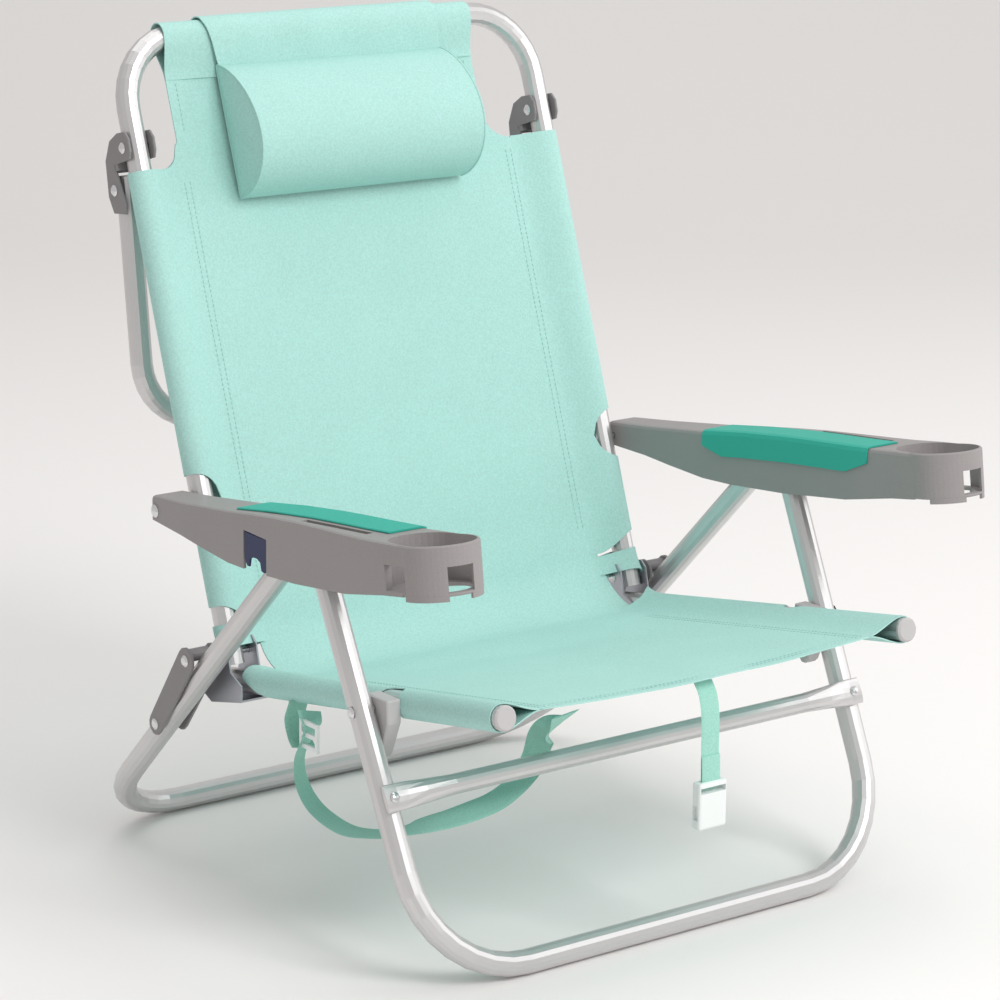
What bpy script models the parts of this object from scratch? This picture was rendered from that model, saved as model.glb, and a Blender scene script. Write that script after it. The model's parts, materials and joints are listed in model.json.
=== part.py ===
"""Low folding beach chair: bent tube frame, cloth sling, moulded armrests with cup rings,
head pillow, head stand and webbing straps.

X runs across the chair, the sitter looks towards -Y, and +Z is up. Sizes are in metres.
Each piece is one object, and each moving piece has its origin on its joint's axis.
"""

import math

import bmesh
import bpy
from mathutils import Matrix, Vector

# ---- whole chair -------------------------------------------------------------------------
GAP = 0.0003                     # clearance between touching pieces
CENTRE_Y = 0.1073                # slides the finished chair so that its box is centred on Y
TUBE_R = 0.011                   # leg, seat and back tubes
TUBE_WALL = 0.0012
BRACE_R = 0.009                  # cross bar between the front legs

# ---- legs --------------------------------------------------------------------------------
LEG_TOP_Z = 0.352
FRONT_FOOT = Vector((0.2597, -0.350, TUBE_R))
FRONT_TOP = Vector((0.2668, -0.191, LEG_TOP_Z))
FRONT_BEND = 0.100
REAR_FOOT = Vector((0.2700, 0.1864, TUBE_R))
REAR_TOP = Vector((0.2645, -0.1533, LEG_TOP_Z))
REAR_BEND = 0.090
BRACE_Z = 0.158
LEG_JOINT = Vector((0.0, -0.172, LEG_TOP_Z))     # where the rear legs swing on the front legs

# ---- seat --------------------------------------------------------------------------------
SEAT_X = 0.226
SEAT_FRONT = Vector((SEAT_X, -0.3985, 0.2553))
SEAT_REAR = Vector((SEAT_X, 0.0150, 0.1850))
SEAT_PIVOT_Y = -0.2490
PLUG_LENGTH = 0.004

# ---- back --------------------------------------------------------------------------------
BACK_X = 0.233
BACK_FOOT = Vector((BACK_X, 0.0005, 0.2030))
BACK_TOP = Vector((BACK_X, 0.1915, 0.7538))
BACK_BEND = 0.066
BACK_PIVOT = Vector((0.0, 0.0043, 0.2140))
ARM_PIVOT = Vector((0.0, 0.0497, 0.3450))
LINK_FOOT = Vector((0.0, 0.0575, 0.1404))

# ---- head stand --------------------------------------------------------------------------
STAND_X = 0.233
STAND_PIVOT = Vector((0.0, 0.1735, 0.6175))
STAND_TOP = Vector((STAND_X, 0.1748, 0.6300))
STAND_FOOT = Vector((STAND_X, 0.1470, 0.4020))
STAND_BEND = 0.055

# ---- armrests ----------------------------------------------------------------------------
ARM_WALL = 0.0028
ARM_INNER_X = 0.2478
CUP_CENTRE = Vector((0.2815, -0.3810, 0.4115))   # middle of the ring's top edge
CUP_RADIUS = 0.0345
CUP_WALL = 0.0026
CUP_DEPTH = 0.0455
CUP_TILT = math.radians(-8.0)
PAD_START_Y, PAD_END_Y = -0.088, -0.318
PAD_SKIN = 0.0016

# ---- soft pieces -------------------------------------------------------------------------
CLOTH = 0.0024
PILLOW_SIZE = Vector((0.270, 0.050, 0.128))
STRAP_WIDTH = 0.0250
STRAP_THICK = 0.0014

MATERIALS = {
    "tube": ((0.70, 0.69, 0.69), 0.34, 0.9),
    "arm_plastic": ((0.50, 0.49, 0.49), 0.55, 0.0),
    "bracket_plastic": ((0.17, 0.165, 0.165), 0.5, 0.0),
    "hinge_steel": ((0.42, 0.43, 0.46), 0.38, 1.0),
    "rivet_steel": ((0.72, 0.72, 0.73), 0.25, 1.0),
    "pad_rubber": ((0.030, 0.38, 0.30), 0.6, 0.0),
    "opener_enamel": ((0.010, 0.018, 0.075), 0.4, 0.3),
    "mint_cloth": ((0.36, 0.74, 0.64), 0.85, 0.0),
    "mint_webbing": ((0.28, 0.62, 0.50), 0.8, 0.0),
    "clear_plastic": ((0.80, 0.84, 0.83), 0.3, 0.0),
    "plug_plastic": ((0.48, 0.47, 0.47), 0.5, 0.0),
}


# ---- scene helpers -----------------------------------------------------------------------
def clear_scene():
    for obj in list(bpy.data.objects):
        bpy.data.objects.remove(obj, do_unlink=True)


def collection(name):
    group = bpy.data.collections.new(name)
    bpy.context.scene.collection.children.link(group)
    return group


def material(name):
    mat = bpy.data.materials.get(name)
    if mat is None:
        colour, roughness, metallic = MATERIALS[name]
        mat = bpy.data.materials.new(name)
        mat.use_nodes = True
        shader = mat.node_tree.nodes["Principled BSDF"]
        shader.inputs["Base Color"].default_value = (*colour, 1.0)
        shader.inputs["Roughness"].default_value = roughness
        shader.inputs["Metallic"].default_value = metallic
    return mat


def shade(mesh, degrees=35.0):
    mesh.shade_smooth()
    mesh.set_sharp_from_angle(angle=math.radians(degrees))


def mesh_object(name, mesh, mat=None, group="beach_chair"):
    obj = bpy.data.objects.new(name, mesh)
    bpy.data.collections[group].objects.link(obj)
    if mat:
        mesh.materials.clear()
        mesh.materials.append(material(mat))
    return obj


def baked(obj):
    """Replaces an object's modifiers, or a curve, by the mesh they give, in world space."""
    bpy.context.view_layer.update()
    depsgraph = bpy.context.evaluated_depsgraph_get()
    mesh = bpy.data.meshes.new_from_object(obj.evaluated_get(depsgraph))
    mesh.transform(obj.matrix_world)
    name = obj.name
    groups = [g.name for g in obj.users_collection]
    bpy.data.objects.remove(obj, do_unlink=True)
    clean = bmesh.new()
    clean.from_mesh(mesh)
    bmesh.ops.remove_doubles(clean, verts=clean.verts, dist=0.00002)
    clean.to_mesh(mesh)
    clean.free()
    fresh = bpy.data.objects.new(name, mesh)
    bpy.data.collections[groups[0]].objects.link(fresh)
    return fresh


def set_origin(obj, point):
    """Puts the object's origin at a point without moving its surface."""
    obj.data.transform(Matrix.Translation(-Vector(point)))
    obj.location = Vector(point)
    return obj


def mirrored(obj, name, origin=None):
    """A copy of a finished piece on the other side of the chair."""
    mesh = obj.data.copy()
    mesh.transform(obj.matrix_basis)
    mesh.transform(Matrix.Diagonal((-1.0, 1.0, 1.0, 1.0)))
    mesh.flip_normals()
    copy = bpy.data.objects.new(name, mesh)
    bpy.data.collections["beach_chair"].objects.link(copy)
    return set_origin(copy, origin) if origin is not None else copy


# ---- shapes ------------------------------------------------------------------------------
def rounded_path(corners, radius, steps=8):
    """The corner points joined by straight runs, with each inner corner turned into an arc."""
    points = [Vector(corners[0])]
    for before, corner, after in zip(corners, corners[1:], corners[2:]):
        a = (Vector(before) - Vector(corner)).normalized()
        b = (Vector(after) - Vector(corner)).normalized()
        half = a.angle(b) / 2.0
        reach = radius / math.tan(half)
        centre = Vector(corner) + (a + b).normalized() * (radius / math.sin(half))
        start = Vector(corner) + a * reach - centre
        end = Vector(corner) + b * reach - centre
        sweep = start.angle(end)
        for i in range(steps + 1):
            t = i / steps
            mix = (start * math.sin((1 - t) * sweep) + end * math.sin(t * sweep))
            points.append(centre + mix / math.sin(sweep))
    points.append(Vector(corners[-1]))
    return points


def poly_curve(name, points, radius, sides=16, caps=True):
    data = bpy.data.curves.new(name, "CURVE")
    data.dimensions = "3D"
    data.bevel_depth = radius
    data.bevel_resolution = (sides - 4) // 2
    data.use_fill_caps = caps
    data.twist_mode = "MINIMUM"
    line = data.splines.new("POLY")
    line.points.add(len(points) - 1)
    for point, place in zip(line.points, points):
        point.co = (*place, 1.0)
    obj = bpy.data.objects.new(name, data)
    bpy.data.collections["beach_chair"].objects.link(obj)
    return obj


def tube(name, points, radius=TUBE_R, wall=TUBE_WALL, sides=16):
    """A hollow tube with open ends along a path."""
    obj = baked(poly_curve(name, points, radius, sides, caps=False))
    skin = obj.modifiers.new("wall", "SOLIDIFY")
    skin.thickness = wall
    skin.offset = -1.0
    skin.use_even_offset = True
    obj = baked(obj)
    obj.data.materials.clear()
    obj.data.materials.append(material("tube"))
    shade(obj.data, 40)
    return obj


def rod(name, points, radius, mat, sides=12):
    obj = baked(poly_curve(name, points, radius, sides, caps=True))
    obj.data.materials.clear()
    obj.data.materials.append(material(mat))
    shade(obj.data, 40)
    return obj


def turned(name, profile, mat, start, along, steps=16, group="beach_chair"):
    """A solid of revolution. The profile is (radius, distance) pairs from top to bottom."""
    mesh = bpy.data.meshes.new(name)
    shape = bmesh.new()
    verts = [shape.verts.new((r, 0.0, z)) for r, z in profile]
    for a, b in zip(verts, verts[1:]):
        shape.edges.new((a, b))
    shape.to_mesh(mesh)
    shape.free()
    obj = mesh_object(name, mesh, mat, group)
    screw = obj.modifiers.new("turn", "SCREW")
    screw.steps = steps
    screw.render_steps = steps
    screw.use_merge_vertices = True
    screw.merge_threshold = 0.00005
    obj.rotation_euler = Vector(along).to_track_quat("Z", "Y").to_euler()
    obj.location = Vector(start)
    obj = baked(obj)
    shade(obj.data, 40)
    return obj


def pin(name, low, high, radius, head=0.0055, dome=0.0022, mat="rivet_steel"):
    """A rivet between two points on a line along X, with a domed head at each end."""
    length = high.x - low.x
    profile = [(0.0, length + dome), (head * 0.62, length + dome * 0.72), (head, length)]
    profile += [(radius, length), (radius, 0.0), (head, 0.0)]
    profile += [(head * 0.62, -dome * 0.72), (0.0, -dome)]
    return turned(name, profile, mat, low, (1.0, 0.0, 0.0), steps=12)


def box(name, low, high, group="cutters"):
    mesh = bpy.data.meshes.new(name)
    shape = bmesh.new()
    bmesh.ops.create_cube(shape, size=1.0)
    for v in shape.verts:
        for k in range(3):
            v.co[k] = low[k] + (v.co[k] + 0.5) * (high[k] - low[k])
    shape.to_mesh(mesh)
    shape.free()
    return mesh_object(name, mesh, None, group)


def drill_tool(start, along, radius, length, sides=12):
    profile = [(0.0, length), (radius, length), (radius, 0.0), (0.0, 0.0)]
    tool = turned("drill", profile, None, start, along, steps=sides, group="cutters")
    tool.hide_render = True
    tool.display_type = "WIRE"
    return tool


def boolean(obj, others, operation="DIFFERENCE"):
    """Cuts or joins with each of the others in turn, then drops them."""
    for other in others:
        step = obj.modifiers.new("join", "BOOLEAN")
        step.operation = operation
        step.object = other
        obj = baked(obj)
        bpy.data.objects.remove(other, do_unlink=True)
    return obj


def drilled(obj, places, radius, along=(1.0, 0.0, 0.0), length=0.04):
    half = Vector(along) * (length / 2)
    mats = list(obj.data.materials)
    obj = boolean(obj, [drill_tool(Vector(p) - half, along, radius, length) for p in places])
    obj.data.materials.clear()
    obj.data.materials.append(mats[0])
    shade(obj.data, 40)
    return obj


def plate(name, outline, x_low, thickness, mat, bevel=0.0):
    """A flat plate in the YZ plane: an outline of (y, z) points given thickness along X."""
    data = bpy.data.curves.new(name, "CURVE")
    data.dimensions = "2D"
    data.fill_mode = "BOTH"
    data.extrude = thickness / 2
    line = data.splines.new("POLY")
    line.points.add(len(outline) - 1)
    for point, (y, z) in zip(line.points, outline):
        point.co = (y, z, 0.0, 1.0)
    line.use_cyclic_u = True
    obj = bpy.data.objects.new(name, data)
    bpy.data.collections["beach_chair"].objects.link(obj)
    turn = Matrix(((0, 0, 1, 0), (1, 0, 0, 0), (0, 1, 0, 0), (0, 0, 0, 1)))
    obj.matrix_world = Matrix.Translation((x_low + thickness / 2, 0, 0)) @ turn
    obj = baked(obj)
    if bevel:
        edge = obj.modifiers.new("edge", "BEVEL")
        edge.width = bevel
        edge.segments = 1
        edge.limit_method = "ANGLE"
        edge.angle_limit = math.radians(50)
        obj = baked(obj)
    obj.data.materials.clear()
    obj.data.materials.append(material(mat))
    shade(obj.data, 35)
    return obj


def capsule(a, b, radius_a, radius_b, steps=7):
    """The outline around two circles in the YZ plane, as (y, z) points."""
    a, b = Vector((a[1], a[2])), Vector((b[1], b[2]))
    turn = math.atan2(b.y - a.y, b.x - a.x)
    lean = math.acos(max(-1.0, min(1.0, (radius_a - radius_b) / (b - a).length)))
    points = []
    for i in range(steps + 1):
        t = turn - lean + (2 * lean) * i / steps
        points.append((b.x + radius_b * math.cos(t), b.y + radius_b * math.sin(t)))
    for i in range(steps + 1):
        t = turn + lean + (2 * math.pi - 2 * lean) * i / steps
        points.append((a.x + radius_a * math.cos(t), a.y + radius_a * math.sin(t)))
    return points


def loft(name, sections, mat, smooth=35.0, group="beach_chair"):
    """A solid through cross-sections that all have the same number of points."""
    mesh = bpy.data.meshes.new(name)
    shape = bmesh.new()
    rings = [[shape.verts.new(p) for p in section] for section in sections]
    count = len(rings[0])
    for low, high in zip(rings, rings[1:]):
        for i in range(count):
            j = (i + 1) % count
            shape.faces.new((low[i], low[j], high[j], high[i]))
    shape.faces.new(list(reversed(rings[0])))
    shape.faces.new(rings[-1])
    bmesh.ops.recalc_face_normals(shape, faces=shape.faces)
    shape.to_mesh(mesh)
    shape.free()
    obj = mesh_object(name, mesh, mat, group)
    shade(mesh, smooth)
    return obj


def ribbon(name, points, across, width, thick, mat):
    """A flat strap along a path; across gives the strap's width direction at each point."""
    sections = []
    last = len(points) - 1
    for i, (point, side) in enumerate(zip(points, across)):
        along = (points[min(i + 1, last)] - points[max(i - 1, 0)]).normalized()
        side = (side - along * side.dot(along)).normalized()
        out = along.cross(side).normalized()
        w, t = side * width / 2, out * thick / 2
        sections.append([point - w - t, point + w - t, point + w + t, point - w + t])
    return loft(name, sections, mat)


def smooth_path(knots, each=6):
    """A smooth curve through the knots, as points."""
    points = []
    ends = [knots[0] * 2 - knots[1], *knots, knots[-1] * 2 - knots[-2]]
    for p, q, r, s in zip(ends, ends[1:], ends[2:], ends[3:]):
        for i in range(each):
            t = i / each
            points.append(
                0.5 * (2 * q + (r - p) * t + (2 * p - 5 * q + 4 * r - s) * t * t
                       + (3 * q - p - 3 * r + s) * t ** 3)
            )
    points.append(knots[-1].copy())
    return points


# ---- places that several pieces share ------------------------------------------------------
def between(a, b, t):
    return a + (b - a) * t


def on_line(a, b, z):
    return between(a, b, (z - a.z) / (b.z - a.z))


def seat_z(y):
    return SEAT_FRONT.z + (SEAT_REAR.z - SEAT_FRONT.z) * (y - SEAT_FRONT.y) / (
        SEAT_REAR.y - SEAT_FRONT.y)


def flip(point):
    return Vector((-point.x, point.y, point.z))


def back_direction():
    return (BACK_TOP - BACK_FOOT).normalized()


def back_normal():
    """Points forward, out of the back's front face."""
    d = back_direction()
    return Vector((0.0, -d.z, d.y))


def seat_pivot():
    return Vector((0.0, SEAT_PIVOT_Y, seat_z(SEAT_PIVOT_Y)))


def u_frame(foot, top, bend):
    return rounded_path([top, foot, flip(foot), flip(top)], bend)


# ---- seat body -----------------------------------------------------------------------------
def seat_tubes():
    right = tube("seat_tube_right", [SEAT_FRONT, SEAT_REAR])
    right = drilled(right, [Vector((SEAT_X, *seat_pivot().yz))], 0.0034)
    pivot = Vector((SEAT_X, *BACK_PIVOT.yz))
    pivot.z = seat_z(pivot.y)
    right = drilled(right, [pivot], 0.0034)
    right.name = "seat_tube_right"
    mirrored(right, "seat_tube_left")


def seat_plugs():
    """A round plug closes the front end of each seat tube."""
    along = (SEAT_FRONT - SEAT_REAR).normalized()
    bore = TUBE_R - TUBE_WALL - GAP
    profile = [(0.0, PLUG_LENGTH), (0.0095, PLUG_LENGTH), (0.0112, PLUG_LENGTH * 0.6)]
    profile += [(0.0112, GAP), (bore, GAP), (bore, -0.012), (0.0, -0.012)]
    right = turned("seat_plug_right", profile, "plug_plastic", SEAT_FRONT, along)
    mirrored(right, "seat_plug_left")


def hinge_channels():
    """A pressed steel channel at the rear of each seat tube carries the back's hinge pin."""
    low = Vector((0, SEAT_REAR.y - 0.012, seat_z(SEAT_REAR.y - 0.012)))
    outline = [(0.0300, 0.1710), (0.0075, 0.2260), (-0.0015, 0.2290), (-0.0085, 0.2230)]
    outline += [(-0.0140, 0.2010), (-0.0320, 0.1925), (-0.0320, 0.1770), (0.0180, 0.1655)]
    outer_x = BACK_X + TUBE_R + GAP
    outer = plate("hinge_channel_right", outline, outer_x, 0.0016, "hinge_steel")
    inner_x = SEAT_X - TUBE_R - GAP - 0.0016
    inner = plate("cheek", outline, inner_x, 0.0016, "hinge_steel")
    floor_y = [(0.0180, 0.1655), (0.0300, 0.1710), (0.0293, 0.1727), (0.0180, 0.1675)]
    floor_y += [(-0.0320, 0.1790), (-0.0320, 0.1770)]
    base = plate("base", floor_y, inner_x, outer_x + 0.0016 - inner_x, "hinge_steel")
    base.location.z = 0.0
    channel = boolean(outer, [inner, base], "UNION")
    holes = [Vector((0.23, *BACK_PIVOT.yz)), Vector((0.23, low.y + 0.0013, seat_z(BACK_PIVOT.y)))]
    channel = drilled(channel, [holes[0]], 0.0034, length=0.08)
    channel.name = "hinge_channel_right"
    mirrored(channel, "hinge_channel_left")


def leg_spacers():
    """A collar on each seat tube keeps the leg clear of the sling and ends in a tongue."""
    at = seat_pivot()
    x = SEAT_X + TUBE_R + GAP
    outline = [(at.y - 0.020, at.z + 0.0105), (at.y + 0.012, at.z + 0.0105)]
    outline += [(at.y + 0.014, at.z - 0.012), (at.y + 0.004, at.z - 0.040)]
    outline += [(at.y + 0.000, at.z - 0.044), (at.y - 0.005, at.z - 0.044)]
    outline += [(at.y - 0.009, at.z - 0.040), (at.y - 0.021, at.z - 0.010)]
    width = 0.0146
    spacer = plate("leg_spacer_right", outline, x, width, "plug_plastic", bevel=0.0012)
    spacer = drilled(spacer, [Vector((x + width / 2, at.y, at.z))], 0.0034, length=0.05)
    spacer.name = "leg_spacer_right"
    mirrored(spacer, "leg_spacer_left")


def panel(name, half, front, rear, sag, mat):
    """A cloth panel between two side tubes; it dips by sag in the middle."""
    along = (rear - front).normalized()
    up = Vector((0.0, -along.z, along.y))
    across = 9
    sections = []
    for end in (front, rear):
        top, low = [], []
        for i in range(across):
            t = -1.0 + 2.0 * i / (across - 1)
            drop = sag * (1.0 - t * t)
            base = Vector((half * t, end.y, end.z)) - up * drop
            top.append(base + up * (CLOTH / 2))
            low.append(base - up * (CLOTH / 2))
        sections.append(top + list(reversed(low)))
    return loft(name, sections, mat)


def seat_sling():
    front = Vector((0.0, -0.394, seat_z(-0.394) + 0.004))
    rear = Vector((0.0, -0.036, seat_z(-0.036) + 0.004))
    panel("seat_sling", SEAT_X - TUBE_R - 0.0035, front, rear, 0.008, "mint_cloth")


def carry_strap():
    """The webbing carry strap hangs in a loop from the left seat edge to the front edge."""
    knots = [Vector(p) for p in (
        (-0.2310, -0.1200, 0.1900), (-0.2345, -0.1280, 0.1750), (-0.2360, -0.1120, 0.1450),
        (-0.2360, -0.1170, 0.1210), (-0.2360, -0.1420, 0.1040), (-0.2350, -0.1850, 0.0980),
        (-0.2310, -0.2280, 0.1060), (-0.2220, -0.2560, 0.1160), (-0.2030, -0.2650, 0.1200),
        (-0.1800, -0.2660, 0.1210), (-0.1550, -0.2630, 0.1220), (-0.1280, -0.2600, 0.1250),
        (-0.1020, -0.2570, 0.1350), (-0.0840, -0.2560, 0.1520), (-0.0820, -0.2620, 0.1720),
        (-0.0960, -0.2900, 0.1920), (-0.1130, -0.3300, 0.2120), (-0.1400, -0.3720, 0.2360))]
    rod("carry_strap", smooth_path(knots, each=3), 0.0035, "mint_webbing", sides=8)


def strap_adjuster():
    """A small clear three-bar slide lies against the carry strap near its upper end."""
    low, high = (-0.2430, -0.150, 0.160), (-0.2402, -0.122, 0.186)
    slide = box("strap_adjuster", low, high, "beach_chair")
    slots = [box("w", (-0.25, -0.1465, 0.1640), (-0.22, -0.1255, 0.1710)),
             box("w", (-0.25, -0.1465, 0.1750), (-0.22, -0.1255, 0.1820))]
    slide = boolean(slide, slots)
    slide.data.materials.clear()
    slide.data.materials.append(material("clear_plastic"))


def buckle_strap():
    """A short strap hangs straight down from under the seat's front edge."""
    points = [Vector((0.0, -0.3850, 0.2420)), Vector((0.0, -0.3935, 0.2320)),
              Vector((0.0, -0.3965, 0.2150)), Vector((0.0, -0.3975, 0.1850)),
              Vector((0.0, -0.3980, 0.1580))]
    across = [Vector((1.0, 0.0, 0.0))] * len(points)
    ribbon("buckle_strap", points, across, STRAP_WIDTH, STRAP_THICK, "mint_webbing")


def strap_buckle():
    """The receiving half of a side-release buckle, with a slot for the strap."""
    body = box("strap_buckle", (-0.0155, -0.4035, 0.1145), (0.0155, -0.3925, 0.1572), "beach_chair")
    edge = body.modifiers.new("edge", "BEVEL")
    edge.width = 0.0022
    edge.segments = 2
    body = baked(body)
    cuts = [box("c", (-0.0105, -0.4010, 0.10), (0.0105, -0.3950, 0.1410)),
            box("c", (-0.0140, -0.42, 0.1475), (0.0140, -0.38, 0.1530)),
            box("c", (-0.02, -0.4010, 0.1230), (-0.0125, -0.3950, 0.1360)),
            box("c", (0.0125, -0.4010, 0.1230), (0.02, -0.3950, 0.1360))]
    body = boolean(body, cuts)
    body.data.materials.clear()
    body.data.materials.append(material("clear_plastic"))
    shade(body.data, 30)


# ---- hinge pins -----------------------------------------------------------------------------
def back_hinge_pins():
    low = Vector((SEAT_X - TUBE_R - GAP - 0.0016 - GAP, *BACK_PIVOT.yz))
    high = Vector((BACK_X + TUBE_R + GAP + 0.0016 + GAP, *BACK_PIVOT.yz))
    right = pin("back_hinge_pin_right", low, high, 0.0030, head=0.0052)
    set_origin(right, BACK_PIVOT)
    mirrored(right, "back_hinge_pin_left", BACK_PIVOT)


# ---- front legs ------------------------------------------------------------------------------
def front_legs():
    at = seat_pivot()
    legs = tube("front_leg_tube", u_frame(FRONT_FOOT, FRONT_TOP, FRONT_BEND))
    x = on_line(FRONT_FOOT, FRONT_TOP, at.z).x
    legs = drilled(legs, [Vector((x, *at.yz)), Vector((-x, *at.yz))], 0.0034)
    legs.name = "front_leg_tube"
    set_origin(legs, at)


def leg_frame(z):
    """A point on the right front leg's centre line, and the leg's forward direction."""
    along = (FRONT_TOP - FRONT_FOOT).normalized()
    return on_line(FRONT_FOOT, FRONT_TOP, z), Vector((0.0, -along.z, along.y)).normalized()


def cross_bar():
    """The brace between the front legs: a tube whose flattened ends lie on the legs."""
    spot, ahead = leg_frame(BRACE_Z)
    centre = spot + ahead * (TUBE_R + 0.0030)
    half = spot.x
    up = Vector((0.0, -ahead.z, ahead.y)) * -1.0
    stations = ((-half - 0.0085, 0.0, 1.35), (-half + 0.004, 0.0, 1.35), (-half + 0.014, 0.15, 1.32),
                (-half + 0.032, 0.60, 1.18), (-half + 0.062, 1.0, 1.0))
    stations += tuple((-x, f, w) for x, f, w in reversed(stations))
    sections = []
    for x, fill, wide in stations:
        deep = 0.0024 + (BRACE_R - 0.0024) * fill
        shift = 0.0
        ring = []
        for i in range(16):
            t = 2 * math.pi * i / 16
            ring.append(Vector((x, centre.y, centre.z)) + ahead * (deep * math.cos(t) + shift)
                        + up * (BRACE_R * wide * math.sin(t)))
        sections.append(ring)
    bar = loft("cross_bar", sections, "tube", 50)
    holes = [Vector((sx * half, centre.y, centre.z)) for sx in (1, -1)]
    bar = drilled(bar, holes, 0.0030, along=tuple(ahead), length=0.03)
    bar.name = "cross_bar"
    set_origin(bar, seat_pivot())


def cross_bar_rivets():
    """A rivet through each flattened end of the cross bar."""
    spot, ahead = leg_frame(BRACE_Z)
    face = spot + ahead * (TUBE_R + 0.0030 + 0.0024 + GAP)
    dome = 0.0020
    deep = -0.0046
    profile = [(0.0, dome), (0.0030, dome * 0.75), (0.0048, 0.0), (0.0026, 0.0), (0.0026, deep)]
    profile += [(0.0, deep)]
    right = turned("cross_bar_rivet_right", profile, "rivet_steel", face, ahead, steps=12)
    set_origin(right, seat_pivot())
    mirrored(right, "cross_bar_rivet_left", seat_pivot())


def leg_pivot_pins():
    """The long rivets on which the front legs turn at the seat tubes."""
    at = seat_pivot()
    x = on_line(FRONT_FOOT, FRONT_TOP, at.z).x
    low = Vector((SEAT_X - TUBE_R - GAP, *at.yz))
    high = Vector((x + TUBE_R + GAP, *at.yz))
    right = pin("leg_pivot_pin_right", low, high, 0.0030)
    set_origin(right, at)
    mirrored(right, "leg_pivot_pin_left", at)


# ---- rear legs --------------------------------------------------------------------------------
def rear_legs():
    legs = tube("rear_leg_tube", u_frame(REAR_FOOT, REAR_TOP, REAR_BEND))
    x = on_line(REAR_FOOT, REAR_TOP, LINK_FOOT.z).x
    spots = [Vector((sx * x, *LINK_FOOT.yz)) for sx in (1, -1)]
    legs = drilled(legs, spots, 0.0034)
    legs.name = "rear_leg_tube"
    set_origin(legs, LEG_JOINT)


def rear_links():
    """A two-cheek moulded link straddles each rear leg below the back's hinge."""
    x = on_line(REAR_FOOT, REAR_TOP, LINK_FOOT.z).x
    outline = capsule(BACK_PIVOT, LINK_FOOT, 0.0125, 0.0105)
    outer_x = x + TUBE_R + 0.0008
    inner_x = x - TUBE_R - 0.0018 - 0.0026
    outer = plate("rear_link_right", outline, outer_x, 0.0030, "bracket_plastic", bevel=0.0007)
    inner = plate("cheek", outline, inner_x, 0.0026, "bracket_plastic", bevel=0.0006)
    along = (REAR_TOP - REAR_FOOT).normalized()
    clear = BACK_PIVOT + Vector((0.0, along.z, -along.y)) * 0.0048
    profile = [(0.0, outer_x - inner_x), (0.0060, outer_x - inner_x), (0.0060, 0.0), (0.0, 0.0)]
    hub = turned("hub", profile, "bracket_plastic", Vector((inner_x + 0.001, *clear.yz)),
                 (1.0, 0.0, 0.0), steps=16)
    link = boolean(outer, [inner, hub], "UNION")
    link = drilled(link, [Vector((x, *LINK_FOOT.yz))], 0.0034, length=0.08)
    link = drilled(link, [Vector((outer_x + 0.0025, *BACK_PIVOT.yz))], 0.0034, length=0.0035)
    link.data.materials.clear()
    link.data.materials.append(material("bracket_plastic"))
    link.name = "rear_link_right"
    set_origin(link, LINK_FOOT)
    mirrored(link, "rear_link_left", LINK_FOOT)
    for label, spot in (("low", LINK_FOOT), ("top", BACK_PIVOT)):
        low = Vector((inner_x - GAP, *spot.yz))
        high = Vector((outer_x + 0.0030 + GAP, *spot.yz))
        if label == "top":
            low.x = outer_x + 0.0014
        name = "link_" + label + "_pin_right"
        rivet = link_rivet(name, low, high, label == "top")
        set_origin(rivet, LINK_FOOT)
        mirrored(rivet, name.replace("right", "left"), LINK_FOOT)


def link_rivet(name, low, high, blind):
    if not blind:
        return pin(name, low, high, 0.0030, dome=0.0016)
    length = high.x - low.x
    profile = [(0.0, length + 0.0022), (0.0036, length + 0.0016), (0.0057, length)]
    profile += [(0.0030, length), (0.0030, 0.0), (0.0, 0.0)]
    return turned(name, profile, "rivet_steel", low, (1.0, 0.0, 0.0), steps=12)


# ---- back ----------------------------------------------------------------------------------------
def back_frame():
    frame = tube("back_frame_tube", u_frame(BACK_TOP, BACK_FOOT, BACK_BEND))
    spots = [Vector((sx * BACK_X, *p.yz)) for sx in (1, -1) for p in (BACK_PIVOT, ARM_PIVOT)]
    frame = drilled(frame, spots, 0.0034)
    frame.name = "back_frame_tube"
    set_origin(frame, BACK_PIVOT)


def back_sling():
    d = back_direction()
    low = BACK_FOOT + d * 0.062
    high = BACK_TOP - d * (TUBE_R + 0.0060)
    low.x = high.x = 0.0
    half = BACK_X - TUBE_R - 0.0045
    neck = BACK_X - 0.048
    shoulder = on_line(BACK_FOOT, BACK_TOP, 0.6300)
    out = back_normal() * (CLOTH / 2)
    outline = [(-half, low), (half, low), (half, shoulder), (neck, shoulder + d * 0.010)]
    outline += [(neck, high), (-neck, high), (-neck, shoulder + d * 0.010), (-half, shoulder)]
    front = [Vector((x, p.y, p.z)) + out for x, p in outline]
    rear = [p - out * 2 for p in front]
    sling = loft("back_sling", [front, rear], "mint_cloth")
    set_origin(sling, BACK_PIVOT)


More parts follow.
